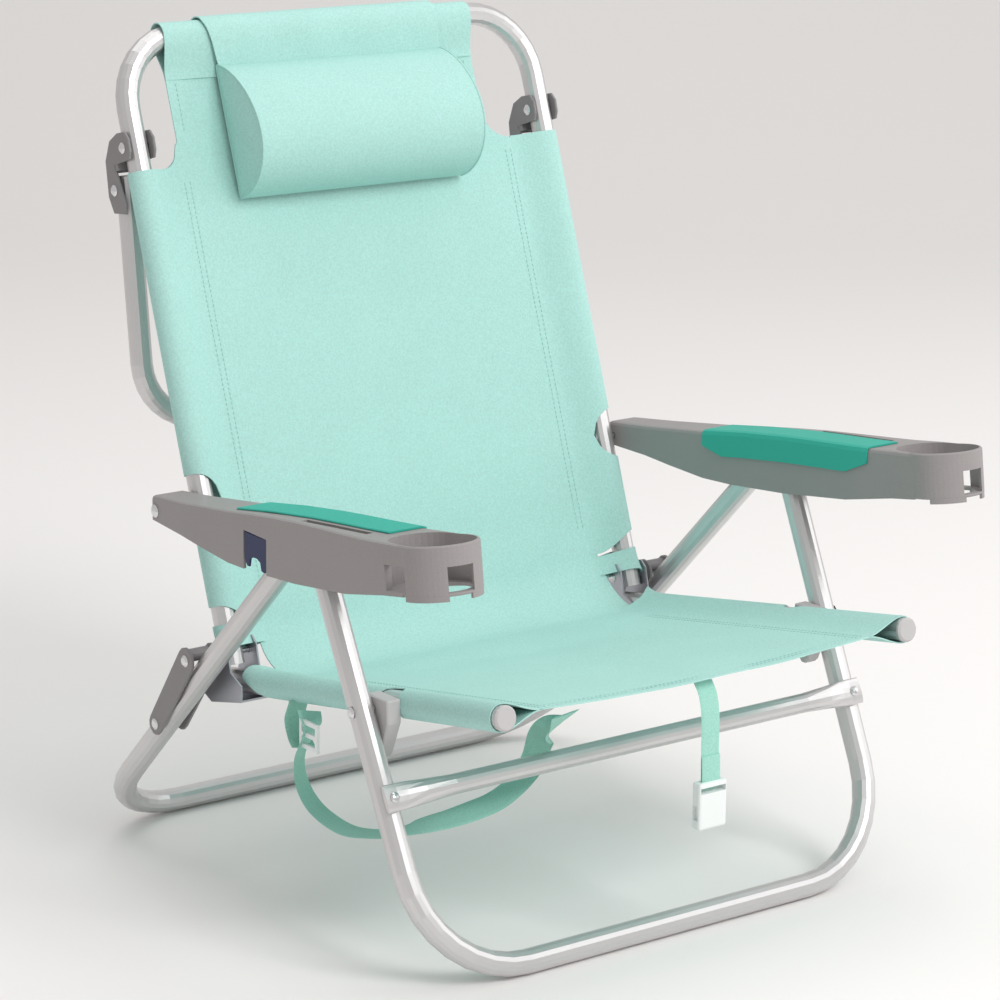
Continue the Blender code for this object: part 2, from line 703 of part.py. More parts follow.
def stand_brackets():
    """Two cheeks on each back tube carry the head stand's pin behind the tube."""
    d = back_direction()
    n = back_normal()
    top = on_line(BACK_FOOT, BACK_TOP, 0.6588)
    base = STAND_PIVOT
    outline = []
    shape = ((-0.0200, -0.012), (0.0080, -0.0125), (0.0118, -0.006), (0.0125, 0.006),
             (0.0080, 0.0135), (-0.0060, 0.0150), (-0.0210, 0.0110), (-0.0340, -0.0050),
             (-0.0400, -0.0380), (-0.0360, -0.0540), (-0.0150, -0.0590), (-0.0120, -0.0500))
    for ahead, up in shape:
        p = top + n * ahead + d * up
        outline.append((p.y, p.z))
    cheeks = []
    for x in (BACK_X + TUBE_R + 0.0010, BACK_X - TUBE_R - 0.0010 - 0.0026):
        cheeks.append(plate("cheek", outline, x, 0.0026, "bracket_plastic", bevel=0.0007))
    span = 2 * TUBE_R + 0.0020 + 0.0040
    web = []
    for ahead, up in ((-0.0300, -0.0180), (-0.0300, -0.0080), (-0.0135, -0.0080), (-0.0135, -0.0180)):
        p = top + n * ahead + d * up
        web.append((p.y, p.z))
    spine = plate("spine", web, BACK_X - span / 2, span, "bracket_plastic")
    bracket = boolean(cheeks[0], [cheeks[1], spine], "UNION")
    holes = [Vector((BACK_X, *top.yz)), Vector((BACK_X, *base.yz))]
    bracket = drilled(bracket, holes, 0.0034, length=0.08)
    bracket.name = "stand_bracket_right"
    set_origin(bracket, BACK_PIVOT)
    mirrored(bracket, "stand_bracket_left", BACK_PIVOT)
    for side, reach in (("outer", 1), ("inner", -1)):
        face = BACK_X + reach * (TUBE_R + 0.0010 + 0.0026 + GAP)
        profile = [(0.0, 0.0020), (0.0034, 0.0015), (0.0054, 0.0), (0.0, 0.0)]
        rivet = turned("bracket_rivet_" + side + "_right", profile, "rivet_steel",
                       Vector((face, *top.yz)), (reach, 0.0, 0.0), steps=12)
        set_origin(rivet, BACK_PIVOT)
        mirrored(rivet, "bracket_rivet_" + side + "_left", BACK_PIVOT)


def head_stand():
    stand = tube("head_stand_tube", rounded_path(
        [STAND_TOP, STAND_FOOT, flip(STAND_FOOT), flip(STAND_TOP)], STAND_BEND), 0.0105)
    spots = [Vector((sx * STAND_X, *STAND_PIVOT.yz)) for sx in (1, -1)]
    stand = drilled(stand, spots, 0.0034)
    stand.name = "head_stand_tube"
    set_origin(stand, STAND_PIVOT)
    low = Vector((BACK_X - TUBE_R - 0.0010 - 0.0026 - GAP, *STAND_PIVOT.yz))
    high = Vector((BACK_X + TUBE_R + 0.0010 + 0.0026 + GAP, *STAND_PIVOT.yz))
    right = pin("head_stand_pin_right", low, high, 0.0030)
    set_origin(right, STAND_PIVOT)
    mirrored(right, "head_stand_pin_left", STAND_PIVOT)


# ---- pillow --------------------------------------------------------------------------------------
def pillow_axis():
    return Vector((0.0, BACK_TOP.y, BACK_TOP.z))


def head_pillow():
    """A soft block in front of the sling, hung by a flap that goes over the top bar."""
    d, n = back_direction(), back_normal()
    middle = on_line(BACK_FOOT, BACK_TOP, 0.6660)
    middle.x = 0.0
    middle += n * (PILLOW_SIZE.y / 2 + 0.0035)
    mesh = bpy.data.meshes.new("pillow")
    shape = bmesh.new()
    bmesh.ops.create_cube(shape, size=1.0)
    for v in shape.verts:
        v.co = Vector((v.co.x * PILLOW_SIZE.x, v.co.y * PILLOW_SIZE.y, v.co.z * PILLOW_SIZE.z))
    shape.to_mesh(mesh)
    shape.free()
    block = mesh_object("pillow", mesh, "mint_cloth")
    edge = block.modifiers.new("edge", "BEVEL")
    edge.width = 0.016
    edge.segments = 3
    turn = Matrix((Vector((1, 0, 0)), -n, d)).transposed().to_4x4()
    block.matrix_world = Matrix.Translation(middle) @ turn
    block = baked(block)
    shade(block.data, 45)
    set_origin(block, pillow_axis())


def pillow_flap():
    """The strip of cloth that holds the pillow on the top bar."""
    d, n = back_direction(), back_normal()
    bar = pillow_axis()
    low = on_line(BACK_FOOT, BACK_TOP, 0.7270)
    low.x = 0.0
    ring = TUBE_R + 0.0032
    points = [low + n * (ring + 0.0008)]
    for i in range(9):
        t = math.pi * 0.97 * i / 8
        points.append(bar + n * (ring * math.cos(t)) + d * (ring * math.sin(t)))
    across = [Vector((1.0, 0.0, 0.0))] * len(points)
    flap = ribbon("pillow_flap", points, across, 0.262, 0.0020, "mint_cloth")
    set_origin(flap, pillow_axis())


# ---- armrests ------------------------------------------------------------------------------------
ARM_TOP = ((0.0560, 0.3580), (0.0, 0.3640), (-0.088, 0.3755), (-0.145, 0.3845),
           (-0.212, 0.3930), (-0.310, 0.4024), (-0.352, 0.4078), (-0.382, 0.4113))
ARM_LOW = ((0.0560, 0.3355), (0.0, 0.3345), (-0.080, 0.3290), (-0.126, 0.3310),
           (-0.200, 0.3375), (-0.290, 0.3500), (-0.352, 0.3640), (-0.382, 0.3692))
ARM_OUTER = ((0.0560, 0.2830), (0.0, 0.2890), (-0.100, 0.2960), (-0.180, 0.3015),
             (-0.280, 0.3095), (-0.345, 0.3150), (-0.382, 0.3158))
ARM_INNER = ((0.0560, 0.2478), (-0.325, 0.2478), (-0.382, 0.2472))
CUP_REAR = 0.020                 # the cup's hollow is drawn out this far to the rear
CUP_REAR_RADIUS = 0.0290
CUP_SKIRT = 0.0040               # the ring's lips hang this far below its lower edge
CUP_LIPS = ((-65.0, 4.0), (-159.0, -102.0))
CUP_WINDOWS = ((-85.0, 0.0, 0.0240), (0.0, 0.0155, 0.0290), (176.0, 0.0090, 0.0280))


def read(table, y):
    """Straight-line reading between the pairs of a table that runs from rear to front."""
    for (ya, a), (yb, b) in zip(table, table[1:]):
        if yb <= y:
            return a + (b - a) * (y - ya) / (yb - ya)
    return table[-1][1]


def arm_section(y, cavity):
    """The armrest's cross-section at y: an upside-down channel, or nearly solid at its end."""
    low, top, outer = read(ARM_LOW, y), read(ARM_TOP, y), read(ARM_OUTER, y)
    inner, wall, r = read(ARM_INNER, y), ARM_WALL, 0.0032
    roof = top - wall if cavity else low + 0.0004
    ring = [(inner, low), (inner, top - r), (inner + r * 0.3, top - r * 0.3), (inner + r, top)]
    ring += [(outer - r, top), (outer - r * 0.3, top - r * 0.3), (outer, top - r), (outer, low)]
    ring += [(outer - wall, low), (outer - wall, roof), (inner + wall, roof), (inner + wall, low)]
    return [Vector((x, y, z)) for x, z in ring]


def arm_shell():
    stations = [(0.0560, False), (0.0532, False), (0.0530, True), (0.028, True), (0.0, True)]
    stations += [(-0.04, True), (-0.088, True), (-0.126, True), (-0.165, True), (-0.205, True)]
    stations += [(-0.25, True), (-0.29, True), (-0.3160, True), (-0.3262, True), (-0.3264, False)]
    stations += [(-0.340, False), (-0.352, False), (-0.366, False), (-0.3815, False)]
    shell = loft("armrest_right", [arm_section(y, c) for y, c in stations], "arm_plastic")
    axis = Matrix.Rotation(CUP_TILT, 3, "X") @ Vector((0.0, 0.0, 1.0))
    base = CUP_CENTRE - axis * CUP_DEPTH
    drum = [(0.0, CUP_DEPTH), (CUP_RADIUS - 0.0012, CUP_DEPTH), (CUP_RADIUS, CUP_DEPTH - 0.0012)]
    drum += [(CUP_RADIUS, CUP_SKIRT + 0.0012), (CUP_RADIUS - 0.0012, CUP_SKIRT), (0.0, CUP_SKIRT)]
    parts = [turned("drum", drum, "arm_plastic", base, axis, steps=48)]
    parts += [cup_lip(base, axis, *span) for span in CUP_LIPS]
    shell = boolean(shell, parts, "UNION")
    floor = CUP_SKIRT + 0.0028
    drain = [(0.0, 0.02), (0.026, 0.02), (0.026, -0.02), (0.0, -0.02)]
    tools = [cup_hollow(base, axis, floor),
             turned("drain", drain, None, base, axis, steps=24, group="cutters")]
    shell = boolean(shell, tools)
    return windows(shell, base, axis)


def cup_hollow(base, axis, floor):
    """The cup's hollow, round at the front and drawn out and narrower to the rear."""
    forward, rear = CUP_RADIUS - CUP_WALL, CUP_REAR_RADIUS
    along = Vector((0.0, axis.z, -axis.y))
    half = math.acos((forward - rear) / CUP_REAR)
    start, sweep = math.pi / 2 + half, 2 * (math.pi - half)
    angles = [(start + sweep * i / 32, forward, 0.0) for i in range(33)]
    angles += [(math.pi / 2 - half + 2 * half * i / 16, rear, CUP_REAR) for i in range(17)]
    outline = [Vector((math.cos(t) * r, 0.0, 0.0)) + along * (math.sin(t) * r + shift)
               for t, r, shift in angles]
    sections = [[base + axis * h + p for p in outline] for h in (floor, CUP_DEPTH + 0.03)]
    return loft("hollow", sections, None, group="cutters")


def cup_lip(base, axis, start, end):
    """A stretch of the ring's wall that hangs below its lower edge, from start to end degrees."""
    tilt = Matrix.Rotation(CUP_TILT, 3, "X")
    sections = []
    for i in range(13):
        turn = math.radians(start + (end - start) * i / 12)
        out = tilt @ Vector((math.cos(turn), math.sin(turn), 0.0))
        rim = ((CUP_RADIUS - CUP_WALL, 0.0), (CUP_RADIUS - 0.0002, 0.0),
               (CUP_RADIUS - 0.0002, CUP_SKIRT + 0.006), (CUP_RADIUS - CUP_WALL, CUP_SKIRT + 0.006))
        sections.append([base + out * r + axis * h for r, h in rim])
    return loft("lip", sections, "arm_plastic")


def windows(shell, base, axis):
    """Square windows through the ring's wall: one in front and one in each side."""
    tilt = Matrix.Rotation(CUP_TILT, 3, "X")
    rearward = Vector((0.0, axis.z, -axis.y))
    tools = []
    for azimuth, back, width in CUP_WINDOWS:
        turn = math.radians(azimuth)
        out = tilt @ Vector((math.cos(turn), math.sin(turn), 0.0))
        side = axis.cross(out)
        middle = base + out * (CUP_RADIUS - 0.002) + rearward * back + axis * 0.0175
        mesh = bpy.data.meshes.new("window")
        shape = bmesh.new()
        bmesh.ops.create_cube(shape, size=1.0)
        for v in shape.verts:
            v.co = (middle + out * v.co.x * 0.023 + side * v.co.y * width
                    + axis * v.co.z * 0.0215)
        bmesh.ops.recalc_face_normals(shape, faces=shape.faces)
        shape.to_mesh(mesh)
        shape.free()
        tools.append(mesh_object("window", mesh, None, "cutters"))
    return boolean(shell, tools)


def arm_slot():
    """A slot in the armrest's top, near its outer edge, holds a phone on edge."""
    y_low, y_high = -0.302, -0.205
    shape = box("slot", (0.2895, y_low, 0.37), (0.2965, y_high, 0.45))
    return shape


def armrests():
    shell = arm_shell()
    shell = boolean(shell, [arm_slot()])
    shell = drilled(shell, [Vector((0.262, *ARM_PIVOT.yz))], 0.0034, length=0.09)
    notch = box("notch", (0.2900, -0.157, 0.30), (0.3300, -0.117, 0.3655))
    shell = boolean(shell, [notch])
    shell.data.materials.clear()
    shell.data.materials.append(material("arm_plastic"))
    shade(shell.data, 35)
    shell.name = "armrest_right"
    left = mirrored(shell, "armrest_left", ARM_PIVOT)
    set_origin(shell, ARM_PIVOT)
    return left


def arm_pads():
    """A soft skin lies over the armrest's top and folds down its inner side."""
    sections = []
    edge = 0.0240
    for i in range(9):
        y = PAD_START_Y + (PAD_END_Y - PAD_START_Y) * i / 8
        top = read(ARM_TOP, y) + GAP
        inner = ARM_INNER_X - GAP
        outer = 0.2850
        drop = edge - 0.010 * (1.0 if i in (0, 8) else 0.0)
        r, skin = 0.0032, PAD_SKIN
        ring = [(inner, top - drop), (inner, top - r), (inner + r * 0.3, top - r * 0.3 - GAP * 0.5)]
        ring[-1] = (inner + r * 0.3 - 0.0003, top - r * 0.3 + 0.0003)
        ring += [(inner + r, top), (outer, top), (outer, top + skin * 0.6)]
        ring += [(outer - 0.001, top + skin), (inner + r, top + skin)]
        ring += [(inner - skin * 0.2, top + skin * 0.2), (inner - skin, top - r)]
        ring += [(inner - skin, top - drop)]
        sections.append([Vector((x, y, z)) for x, z in ring])
    pad = loft("arm_pad_right", sections, "pad_rubber")
    left = mirrored(pad, "arm_pad_left", ARM_PIVOT)
    set_origin(pad, ARM_PIVOT)
    return left


def bottle_opener():
    """A painted steel opener under the left armrest, in the notch of its outer side."""
    outline = [(-0.1190, 0.3645), (-0.1190, 0.3400), (-0.1230, 0.3345), (-0.1265, 0.3345)]
    outline += [(-0.1280, 0.3420), (-0.1320, 0.3440), (-0.1390, 0.3440), (-0.1430, 0.3420)]
    outline += [(-0.1450, 0.3345), (-0.1500, 0.3335), (-0.1550, 0.3390), (-0.1550, 0.3645)]
    opener = plate("bottle_opener", outline, -0.2975, 0.0022, "opener_enamel", bevel=0.0005)
    tab = plate("tab", [(-0.1200, 0.3650), (-0.1540, 0.3650), (-0.1540, 0.3625), (-0.1200, 0.3625)],
                -0.2965, 0.0085, "opener_enamel")
    opener = boolean(opener, [tab], "UNION")
    opener.data.materials.clear()
    opener.data.materials.append(material("opener_enamel"))
    set_origin(opener, ARM_PIVOT)


def arm_bolts():
    low = Vector((BACK_X - TUBE_R - GAP, *ARM_PIVOT.yz))
    high = Vector((read(ARM_OUTER, ARM_PIVOT.y - 0.0062) + GAP, *ARM_PIVOT.yz))
    right = pin("arm_bolt_right", low, high, 0.0030, head=0.0062)
    set_origin(right, ARM_PIVOT)
    mirrored(right, "arm_bolt_left", ARM_PIVOT)


# ---- assembly ------------------------------------------------------------------------------------
def settle():
    """Centres the chair on Y, empties the cutter collection and sets the viewport flags."""
    for obj in list(bpy.data.collections["cutters"].objects):
        obj.hide_render = True
        obj.display_type = "WIRE"
    for obj in bpy.data.collections["beach_chair"].objects:
        obj.location.y += CENTRE_Y
        if not obj.data.materials:
            obj.data.materials.append(material("tube"))


def main():
    clear_scene()
    collection("beach_chair")
    collection("cutters")
    for build in (seat_tubes, seat_plugs, hinge_channels, leg_spacers, seat_sling, carry_strap,
                  strap_adjuster, buckle_strap, strap_buckle, back_hinge_pins, front_legs,
                  cross_bar, cross_bar_rivets, leg_pivot_pins, rear_legs, rear_links, back_frame,
                  back_sling, stand_brackets, head_stand, head_pillow, pillow_flap, armrests,
                  arm_pads, bottle_opener, arm_bolts):
        build()
    settle()


main()
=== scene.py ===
import json
import math

import bpy
import numpy as np
from mathutils import Matrix, Vector


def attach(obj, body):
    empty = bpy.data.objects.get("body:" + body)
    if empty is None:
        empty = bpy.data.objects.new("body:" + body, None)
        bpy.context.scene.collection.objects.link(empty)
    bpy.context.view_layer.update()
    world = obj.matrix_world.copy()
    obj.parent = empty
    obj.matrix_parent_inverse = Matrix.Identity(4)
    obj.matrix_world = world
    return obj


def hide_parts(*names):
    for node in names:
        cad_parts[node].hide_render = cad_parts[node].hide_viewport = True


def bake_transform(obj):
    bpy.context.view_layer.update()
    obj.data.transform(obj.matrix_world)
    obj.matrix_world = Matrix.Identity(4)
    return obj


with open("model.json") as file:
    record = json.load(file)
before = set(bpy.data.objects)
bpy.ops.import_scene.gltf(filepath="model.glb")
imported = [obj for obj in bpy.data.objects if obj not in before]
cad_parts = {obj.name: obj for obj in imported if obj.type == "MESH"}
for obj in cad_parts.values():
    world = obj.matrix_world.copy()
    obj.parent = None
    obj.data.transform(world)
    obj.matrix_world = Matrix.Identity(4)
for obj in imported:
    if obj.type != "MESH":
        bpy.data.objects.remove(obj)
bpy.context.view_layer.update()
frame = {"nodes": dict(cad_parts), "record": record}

bl_info = {
    "name": "Beach Chair Builder",
    "version": (1, 0, 0),
    "blender": (4, 5, 0),
    "location": "View3D > Sidebar > Beach Chair",
    "description": "Dresses a folding beach chair's frame with its sling, pillow and straps",
    "category": "Add Mesh",
}

NODES = frame["nodes"]
CENTRE_Y = 0.1073            # the profile points below are this far in front of the frame's

CLOTH_THICKNESS = 0.0011
SHARP_ANGLE = math.radians(50.0)


# ---- properties --------------------------------------------------------------------------
class ChairColours(bpy.types.PropertyGroup):
    """Colours of the chair's cloth and plastics, as linear values."""

    cloth: bpy.props.FloatVectorProperty(
        name="Cloth", description="Colour of the sling and the pillow", subtype="COLOR",
        size=3, min=0.0, max=1.0, default=(0.400, 0.670, 0.620))
    webbing: bpy.props.FloatVectorProperty(
        name="Webbing", description="Colour of the straps", subtype="COLOR",
        size=3, min=0.0, max=1.0, default=(0.330, 0.640, 0.540))
    armrest: bpy.props.FloatVectorProperty(
        name="Armrest", description="Colour of the moulded armrests", subtype="COLOR",
        size=3, min=0.0, max=1.0, default=(0.300, 0.280, 0.278))
    pad: bpy.props.FloatVectorProperty(
        name="Pad", description="Colour of the armrests' soft skins", subtype="COLOR",
        size=3, min=0.0, max=1.0, default=(0.022, 0.400, 0.310))


class ChairSizes(bpy.types.PropertyGroup):
    """Sizes of the view."""

    azimuth: bpy.props.FloatProperty(
        name="View azimuth", description="Side the camera stands on, seen from above",
        subtype="ANGLE", default=math.radians(-37.1783))
    elevation: bpy.props.FloatProperty(
        name="View elevation", description="Height of the view above level",
        subtype="ANGLE", default=math.radians(14.2508))


# ---- materials ---------------------------------------------------------------------------
def new_material(name, colour, roughness, metallic=0.0):
    """A material with its shader's uniform values set; gives it with its nodes and shader."""
    mat = bpy.data.materials.new(name)
    mat.use_nodes = True
    shader = mat.node_tree.nodes["Principled BSDF"]
    shader.inputs["Base Color"].default_value = (*colour, 1.0)
    shader.inputs["Roughness"].default_value = roughness
    shader.inputs["Metallic"].default_value = metallic
    return mat, mat.node_tree, shader


def noise(tree, place, scale):
    """A noise in the object's own coordinates."""
    node = tree.nodes.new("ShaderNodeTexNoise")
    node.inputs["Scale"].default_value = scale
    tree.links.new(place.outputs["Object"], node.inputs["Vector"])
    return node


def spread(tree, source, amount, low=0.0, high=1.0):
    """Maps a noise from low..high to a factor that strays from 1 by amount."""
    node = tree.nodes.new("ShaderNodeMapRange")
    node.inputs["From Min"].default_value = low
    node.inputs["From Max"].default_value = high
    node.inputs["To Min"].default_value = 1.0 - amount
    node.inputs["To Max"].default_value = 1.0 + amount
    tree.links.new(source.outputs["Fac"], node.inputs["Value"])
    return node


def simple_finish(name, colour, roughness, metallic, grain, bump, vary, speck=0.0):
    """A finish with a fine grain, a slight drift of colour and, for cloth, speckle.

    grain is the fine noise's scale, bump its strength as relief and speck its strength as
    colour; vary is how far the colour drifts over a hand's breadth."""
    mat, tree, shader = new_material(name, colour, roughness, metallic)
    place = tree.nodes.new("ShaderNodeTexCoord")
    fine = noise(tree, place, grain)
    fine.inputs["Detail"].default_value = 3.0
    drift = spread(tree, noise(tree, place, 18.0), vary)
    speckle = spread(tree, fine, speck, 0.35, 0.65)
    both = tree.nodes.new("ShaderNodeMath")
    both.operation = "MULTIPLY"
    tree.links.new(drift.outputs["Result"], both.inputs[0])
    tree.links.new(speckle.outputs["Result"], both.inputs[1])
    tint = tree.nodes.new("ShaderNodeMix")
    tint.data_type = "RGBA"
    tint.blend_type = "MULTIPLY"
    tint.inputs[0].default_value = 1.0
    tint.inputs[6].default_value = (*colour, 1.0)
    tree.links.new(both.outputs["Value"], tint.inputs[7])
    tree.links.new(tint.outputs[2], shader.inputs["Base Color"])
    height = tree.nodes.new("ShaderNodeBump")
    height.inputs["Strength"].default_value = bump
    height.inputs["Distance"].default_value = 0.0004
    tree.links.new(fine.outputs["Fac"], height.inputs["Height"])
    tree.links.new(height.outputs["Normal"], shader.inputs["Normal"])
    return mat


FINISHES = {}    # made once each, by name


def finish(name):
    """The material of a slot: colour, roughness, metal, grain, bump, drift and speckle."""
    if name not in FINISHES:
        c = bpy.context.scene.chair_colours
        thread = tuple(v * 0.92 for v in c.cloth)
        values = {
            "tube": ("satin_tube", (0.66, 0.65, 0.65), 0.36, 0.85, 1500, 0.05, 0.03),
            "arm_plastic": ("arm_plastic", c.armrest, 0.55, 0.0, 900, 0.35, 0.03, 0.04),
            "bracket_plastic": ("bracket_plastic", (0.235, 0.222, 0.226), 0.48, 0.0, 1300,
                                0.3, 0.04),
            "hinge_steel": ("hinge_steel", (0.45, 0.46, 0.50), 0.38, 0.9, 260, 0.15, 0.12),
            "rivet_steel": ("rivet_steel", (0.74, 0.74, 0.75), 0.22, 1.0, 800, 0.05, 0.04),
            "pad_rubber": ("pad_rubber", c.pad, 0.6, 0.0, 1800, 0.4, 0.04),
            "opener_enamel": ("opener_enamel", (0.012, 0.020, 0.085), 0.35, 0.2, 900, 0.1,
                              0.1),
            "mint_cloth": ("mint_cloth", c.cloth, 0.85, 0.0, 520, 0.5, 0.03, 0.06),
            "mint_webbing": ("mint_webbing", c.webbing, 0.8, 0.0, 900, 0.5, 0.04, 0.08),
            "mint_thread": ("mint_thread", thread, 0.7, 0.0, 3000, 0.3, 0.03),
            "clear_plastic": ("clear_plastic", (0.82, 0.86, 0.85), 0.25, 0.0, 900, 0.1, 0.03),
            "plug_plastic": ("plug_plastic", (0.50, 0.49, 0.49), 0.5, 0.0, 1300, 0.2, 0.03),
        }
        FINISHES[name] = simple_finish(*values[name])
    return FINISHES[name]


class CHAIR_OT_frame_finishes(bpy.types.Operator):
    """Gives every carried-over frame piece its finish"""

    bl_idname = "chair.frame_finishes"
    bl_label = "Frame finishes"

    def execute(self, context):
        slots = {s["node"]: s["material_slot"] for s in frame["record"]["subparts"]}
        for name, obj in NODES.items():
            obj.data.materials.clear()
            obj.data.materials.append(finish(slots[name]))
        return {"FINISHED"}


class CHAIR_OT_stage(bpy.types.Operator):
    """Adds the floor, the lights and the camera"""

    bl_idname = "chair.stage"
    bl_label = "Stage"

    def execute(self, context):
        floor_and_backdrop()
        lights()
        camera(context.scene.chair_sizes)
        return {"FINISHED"}


def floor_and_backdrop():
    """A flat floor that curves up into a wall far behind: height is a smooth step of depth."""
    u, v = np.meshgrid(np.linspace(-8.0, 8.0, 5), np.linspace(-6.0, 7.0, 40))
    t = np.clip((v - 3.2) / 2.2, 0.0, None)
    y = np.where(v < 3.2, v, 3.2 + 2.2 * np.sin(np.clip(t, 0, math.pi / 2)))
    z = np.where(v < 3.2, 0.0, 2.2 * (1 - np.cos(np.clip(t, 0, math.pi / 2))))
    z = z + np.where(t > math.pi / 2, (t - math.pi / 2) * 2.2, 0.0)
    turn = math.radians(-37.0)
    x = u * math.cos(turn) - y * math.sin(turn)
    y = u * math.sin(turn) + y * math.cos(turn)
    obj = grid_object("stage_floor", np.stack([x, y, z - 0.0004], -1))
    mat, tree, shader = new_material("stage_paper", (0.86, 0.845, 0.835), 0.9)
    shader.inputs["Specular IOR Level"].default_value = 0.1
    obj.data.materials.append(mat)


def lights():
    """Large soft boxes: a key above the left, a fill on the right and one overhead."""
    world = bpy.data.worlds.new("studio")
    bpy.context.scene.world = world
    bpy.context.scene.view_settings.view_transform = "Standard"
    world.use_nodes = True
    world.node_tree.nodes["Background"].inputs[0].default_value = (1.0, 0.985, 0.975, 1.0)
    world.node_tree.nodes["Background"].inputs[1].default_value = 0.62
    for name, place, size, power in (
            ("key", (0.5, -3.2, 3.1), 1.8, 84.0),
            ("fill", (2.9, -1.0, 1.6), 2.2, 22.0),
            ("top", (0.2, 0.8, 3.6), 3.0, 30.0)):
        data = bpy.data.lights.new(name, "AREA")
        data.shape = "SQUARE"
        data.size = size
        data.energy = power
        lamp = bpy.data.objects.new(name, data)
        lamp.location = place
        aim = Vector((0.0, 0.0, 0.35)) - Vector(place)
        lamp.rotation_euler = aim.to_track_quat("-Z", "Y").to_euler()
        bpy.context.scene.collection.objects.link(lamp)


def camera(sizes):
    """The camera stands back along its azimuth and elevation, with a slight roll."""
    az, el, roll = sizes.azimuth, sizes.elevation, math.radians(0.6399)
    back = Vector((math.sin(az) * math.cos(el), -math.cos(az) * math.cos(el), math.sin(el)))
    right = Vector((math.cos(az), math.sin(az), 0.0))
    up = back.cross(right)
    right2 = right * math.cos(roll) + up * math.sin(roll)
    up2 = -right * math.sin(roll) + up * math.cos(roll)
    data = bpy.data.cameras.new("camera")
    data.lens = 126.772
    data.sensor_width = 36.0
    cam = bpy.data.objects.new("camera", data)
    place = Vector((-1.90080, -2.49109, 1.14285))
    turn = Matrix((right2, up2, back)).transposed().to_4x4()
    cam.matrix_world = Matrix.Translation(place) @ turn
    bpy.context.scene.collection.objects.link(cam)
    bpy.context.scene.camera = cam


# ---- surfaces ----------------------------------------------------------------------------
def grid_object(name, points, close_u=False, caps=False):
    """A mesh from a grid of points: row i runs across, and the rows follow each other along."""
    rows, cols = points.shape[:2]
    mesh = bpy.data.meshes.new(name)
    i, j = np.meshgrid(np.arange(rows - 1), np.arange(cols if close_u else cols - 1),
                       indexing="ij")
    k = (j + 1) % cols
    faces = np.stack([i * cols + j, i * cols + k, (i + 1) * cols + k, (i + 1) * cols + j], -1)
    faces = faces.reshape(-1, 4).tolist()
    if caps:
        faces.append(list(range(cols))[::-1])
        faces.append(list(range((rows - 1) * cols, rows * cols)))
    mesh.from_pydata(points.reshape(-1, 3).tolist(), [], faces)
    mesh.shade_smooth()
    obj = bpy.data.objects.new(name, mesh)
    bpy.context.scene.collection.objects.link(obj)
    return obj


def placed(x, yz):
    """Points in the chair's frame from x and the (y, z) pairs of the profile plane."""
    x, y, z = np.broadcast_arrays(x, yz[..., 0] + CENTRE_Y, yz[..., 1])
    return np.stack([x, y, z], -1)


def thickened(obj, thickness=CLOTH_THICKNESS, offset=-1.0):
    """Gives a sheet its thickness and keeps the result as the mesh."""
    wall = obj.modifiers.new("thickness", "SOLIDIFY")
    wall.thickness = thickness
    wall.offset = offset
    wall.use_rim = True
    return applied(obj)


def applied(obj):
    """Replaces an object's mesh by what its modifiers make of it."""
    bpy.context.view_layer.update()
    graph = bpy.context.evaluated_depsgraph_get()
    mesh = bpy.data.meshes.new_from_object(obj.evaluated_get(graph))
    obj.modifiers.clear()
    obj.data = mesh
    mesh.shade_smooth()
    mesh.set_sharp_from_angle(angle=SHARP_ANGLE)
    return obj


def dressed(obj, material, body):
    """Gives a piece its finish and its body."""
    obj.data.materials.clear()
    obj.data.materials.append(finish(material))
    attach(obj, body)
    return obj


# ---- the sling's line --------------------------------------------------------------------
BACK_FOOT, BACK_TOP = np.array([0.0005, 0.2030]), np.array([0.1915, 0.7538])
SEAT_FRONT, SEAT_REAR = np.array([-0.3985, 0.2553]), np.array([0.0150, 0.1850])
UP = (BACK_TOP - BACK_FOOT) / np.linalg.norm(BACK_TOP - BACK_FOOT)
OUT = np.array([-UP[1], UP[0]])
REARWARD = (SEAT_REAR - SEAT_FRONT) / np.linalg.norm(SEAT_REAR - SEAT_FRONT)
TURN_RADIUS = 0.060
TURN = math.acos(float(UP @ REARWARD))
HALF_TURN = TURN_RADIUS * TURN / 2
CORNER = np.linalg.solve(np.stack([REARWARD, -UP], 1), BACK_FOOT - SEAT_FRONT)[0]
CORNER = SEAT_FRONT + REARWARD * CORNER
TANGENT = TURN_RADIUS * math.tan(TURN / 2)
SEAT_END = -HALF_TURN - float((CORNER - SEAT_FRONT) @ REARWARD) + TANGENT
BAR = HALF_TURN - TANGENT + float((BACK_TOP - CORNER) @ UP)
BACK_ZERO = HALF_TURN - TANGENT + float((BACK_FOOT - CORNER) @ UP)
BACK_X, SEAT_X, SLEEVE_R, TAIL = 0.233, 0.226, 0.0125, 0.0420


def sling_line(t):
    """The sling seen from the side: straight along the seat, a round turn, straight up the back.

    t is the distance along the cloth from the middle of the turn; the point is the line's start
    plus its run, and in the turn it lies on a circle. Gives (y, z) points and their normals."""
    t = np.asarray(t, float)
    turned = np.clip((t + HALF_TURN) / TURN_RADIUS, 0.0, TURN)
    start = math.atan2(REARWARD[1], REARWARD[0])
    angle = start + turned
    along = np.stack([np.cos(angle), np.sin(angle)], -1)
    normal = np.stack([-np.sin(angle), np.cos(angle)], -1)
    first = CORNER - REARWARD * TANGENT
    centre = first + TURN_RADIUS * np.array([-REARWARD[1], REARWARD[0]])
    run = np.where(t < -HALF_TURN, t + HALF_TURN, np.where(t > HALF_TURN, t - HALF_TURN, 0.0))
    return centre - TURN_RADIUS * normal + along * run[..., None], normal


def smooth_step(t):
    """Rises from 0 to 1 as t does, level at both ends: three t squared less two t cubed."""
    t = np.clip(t, 0.0, 1.0)
    return t * t * (3.0 - 2.0 * t)


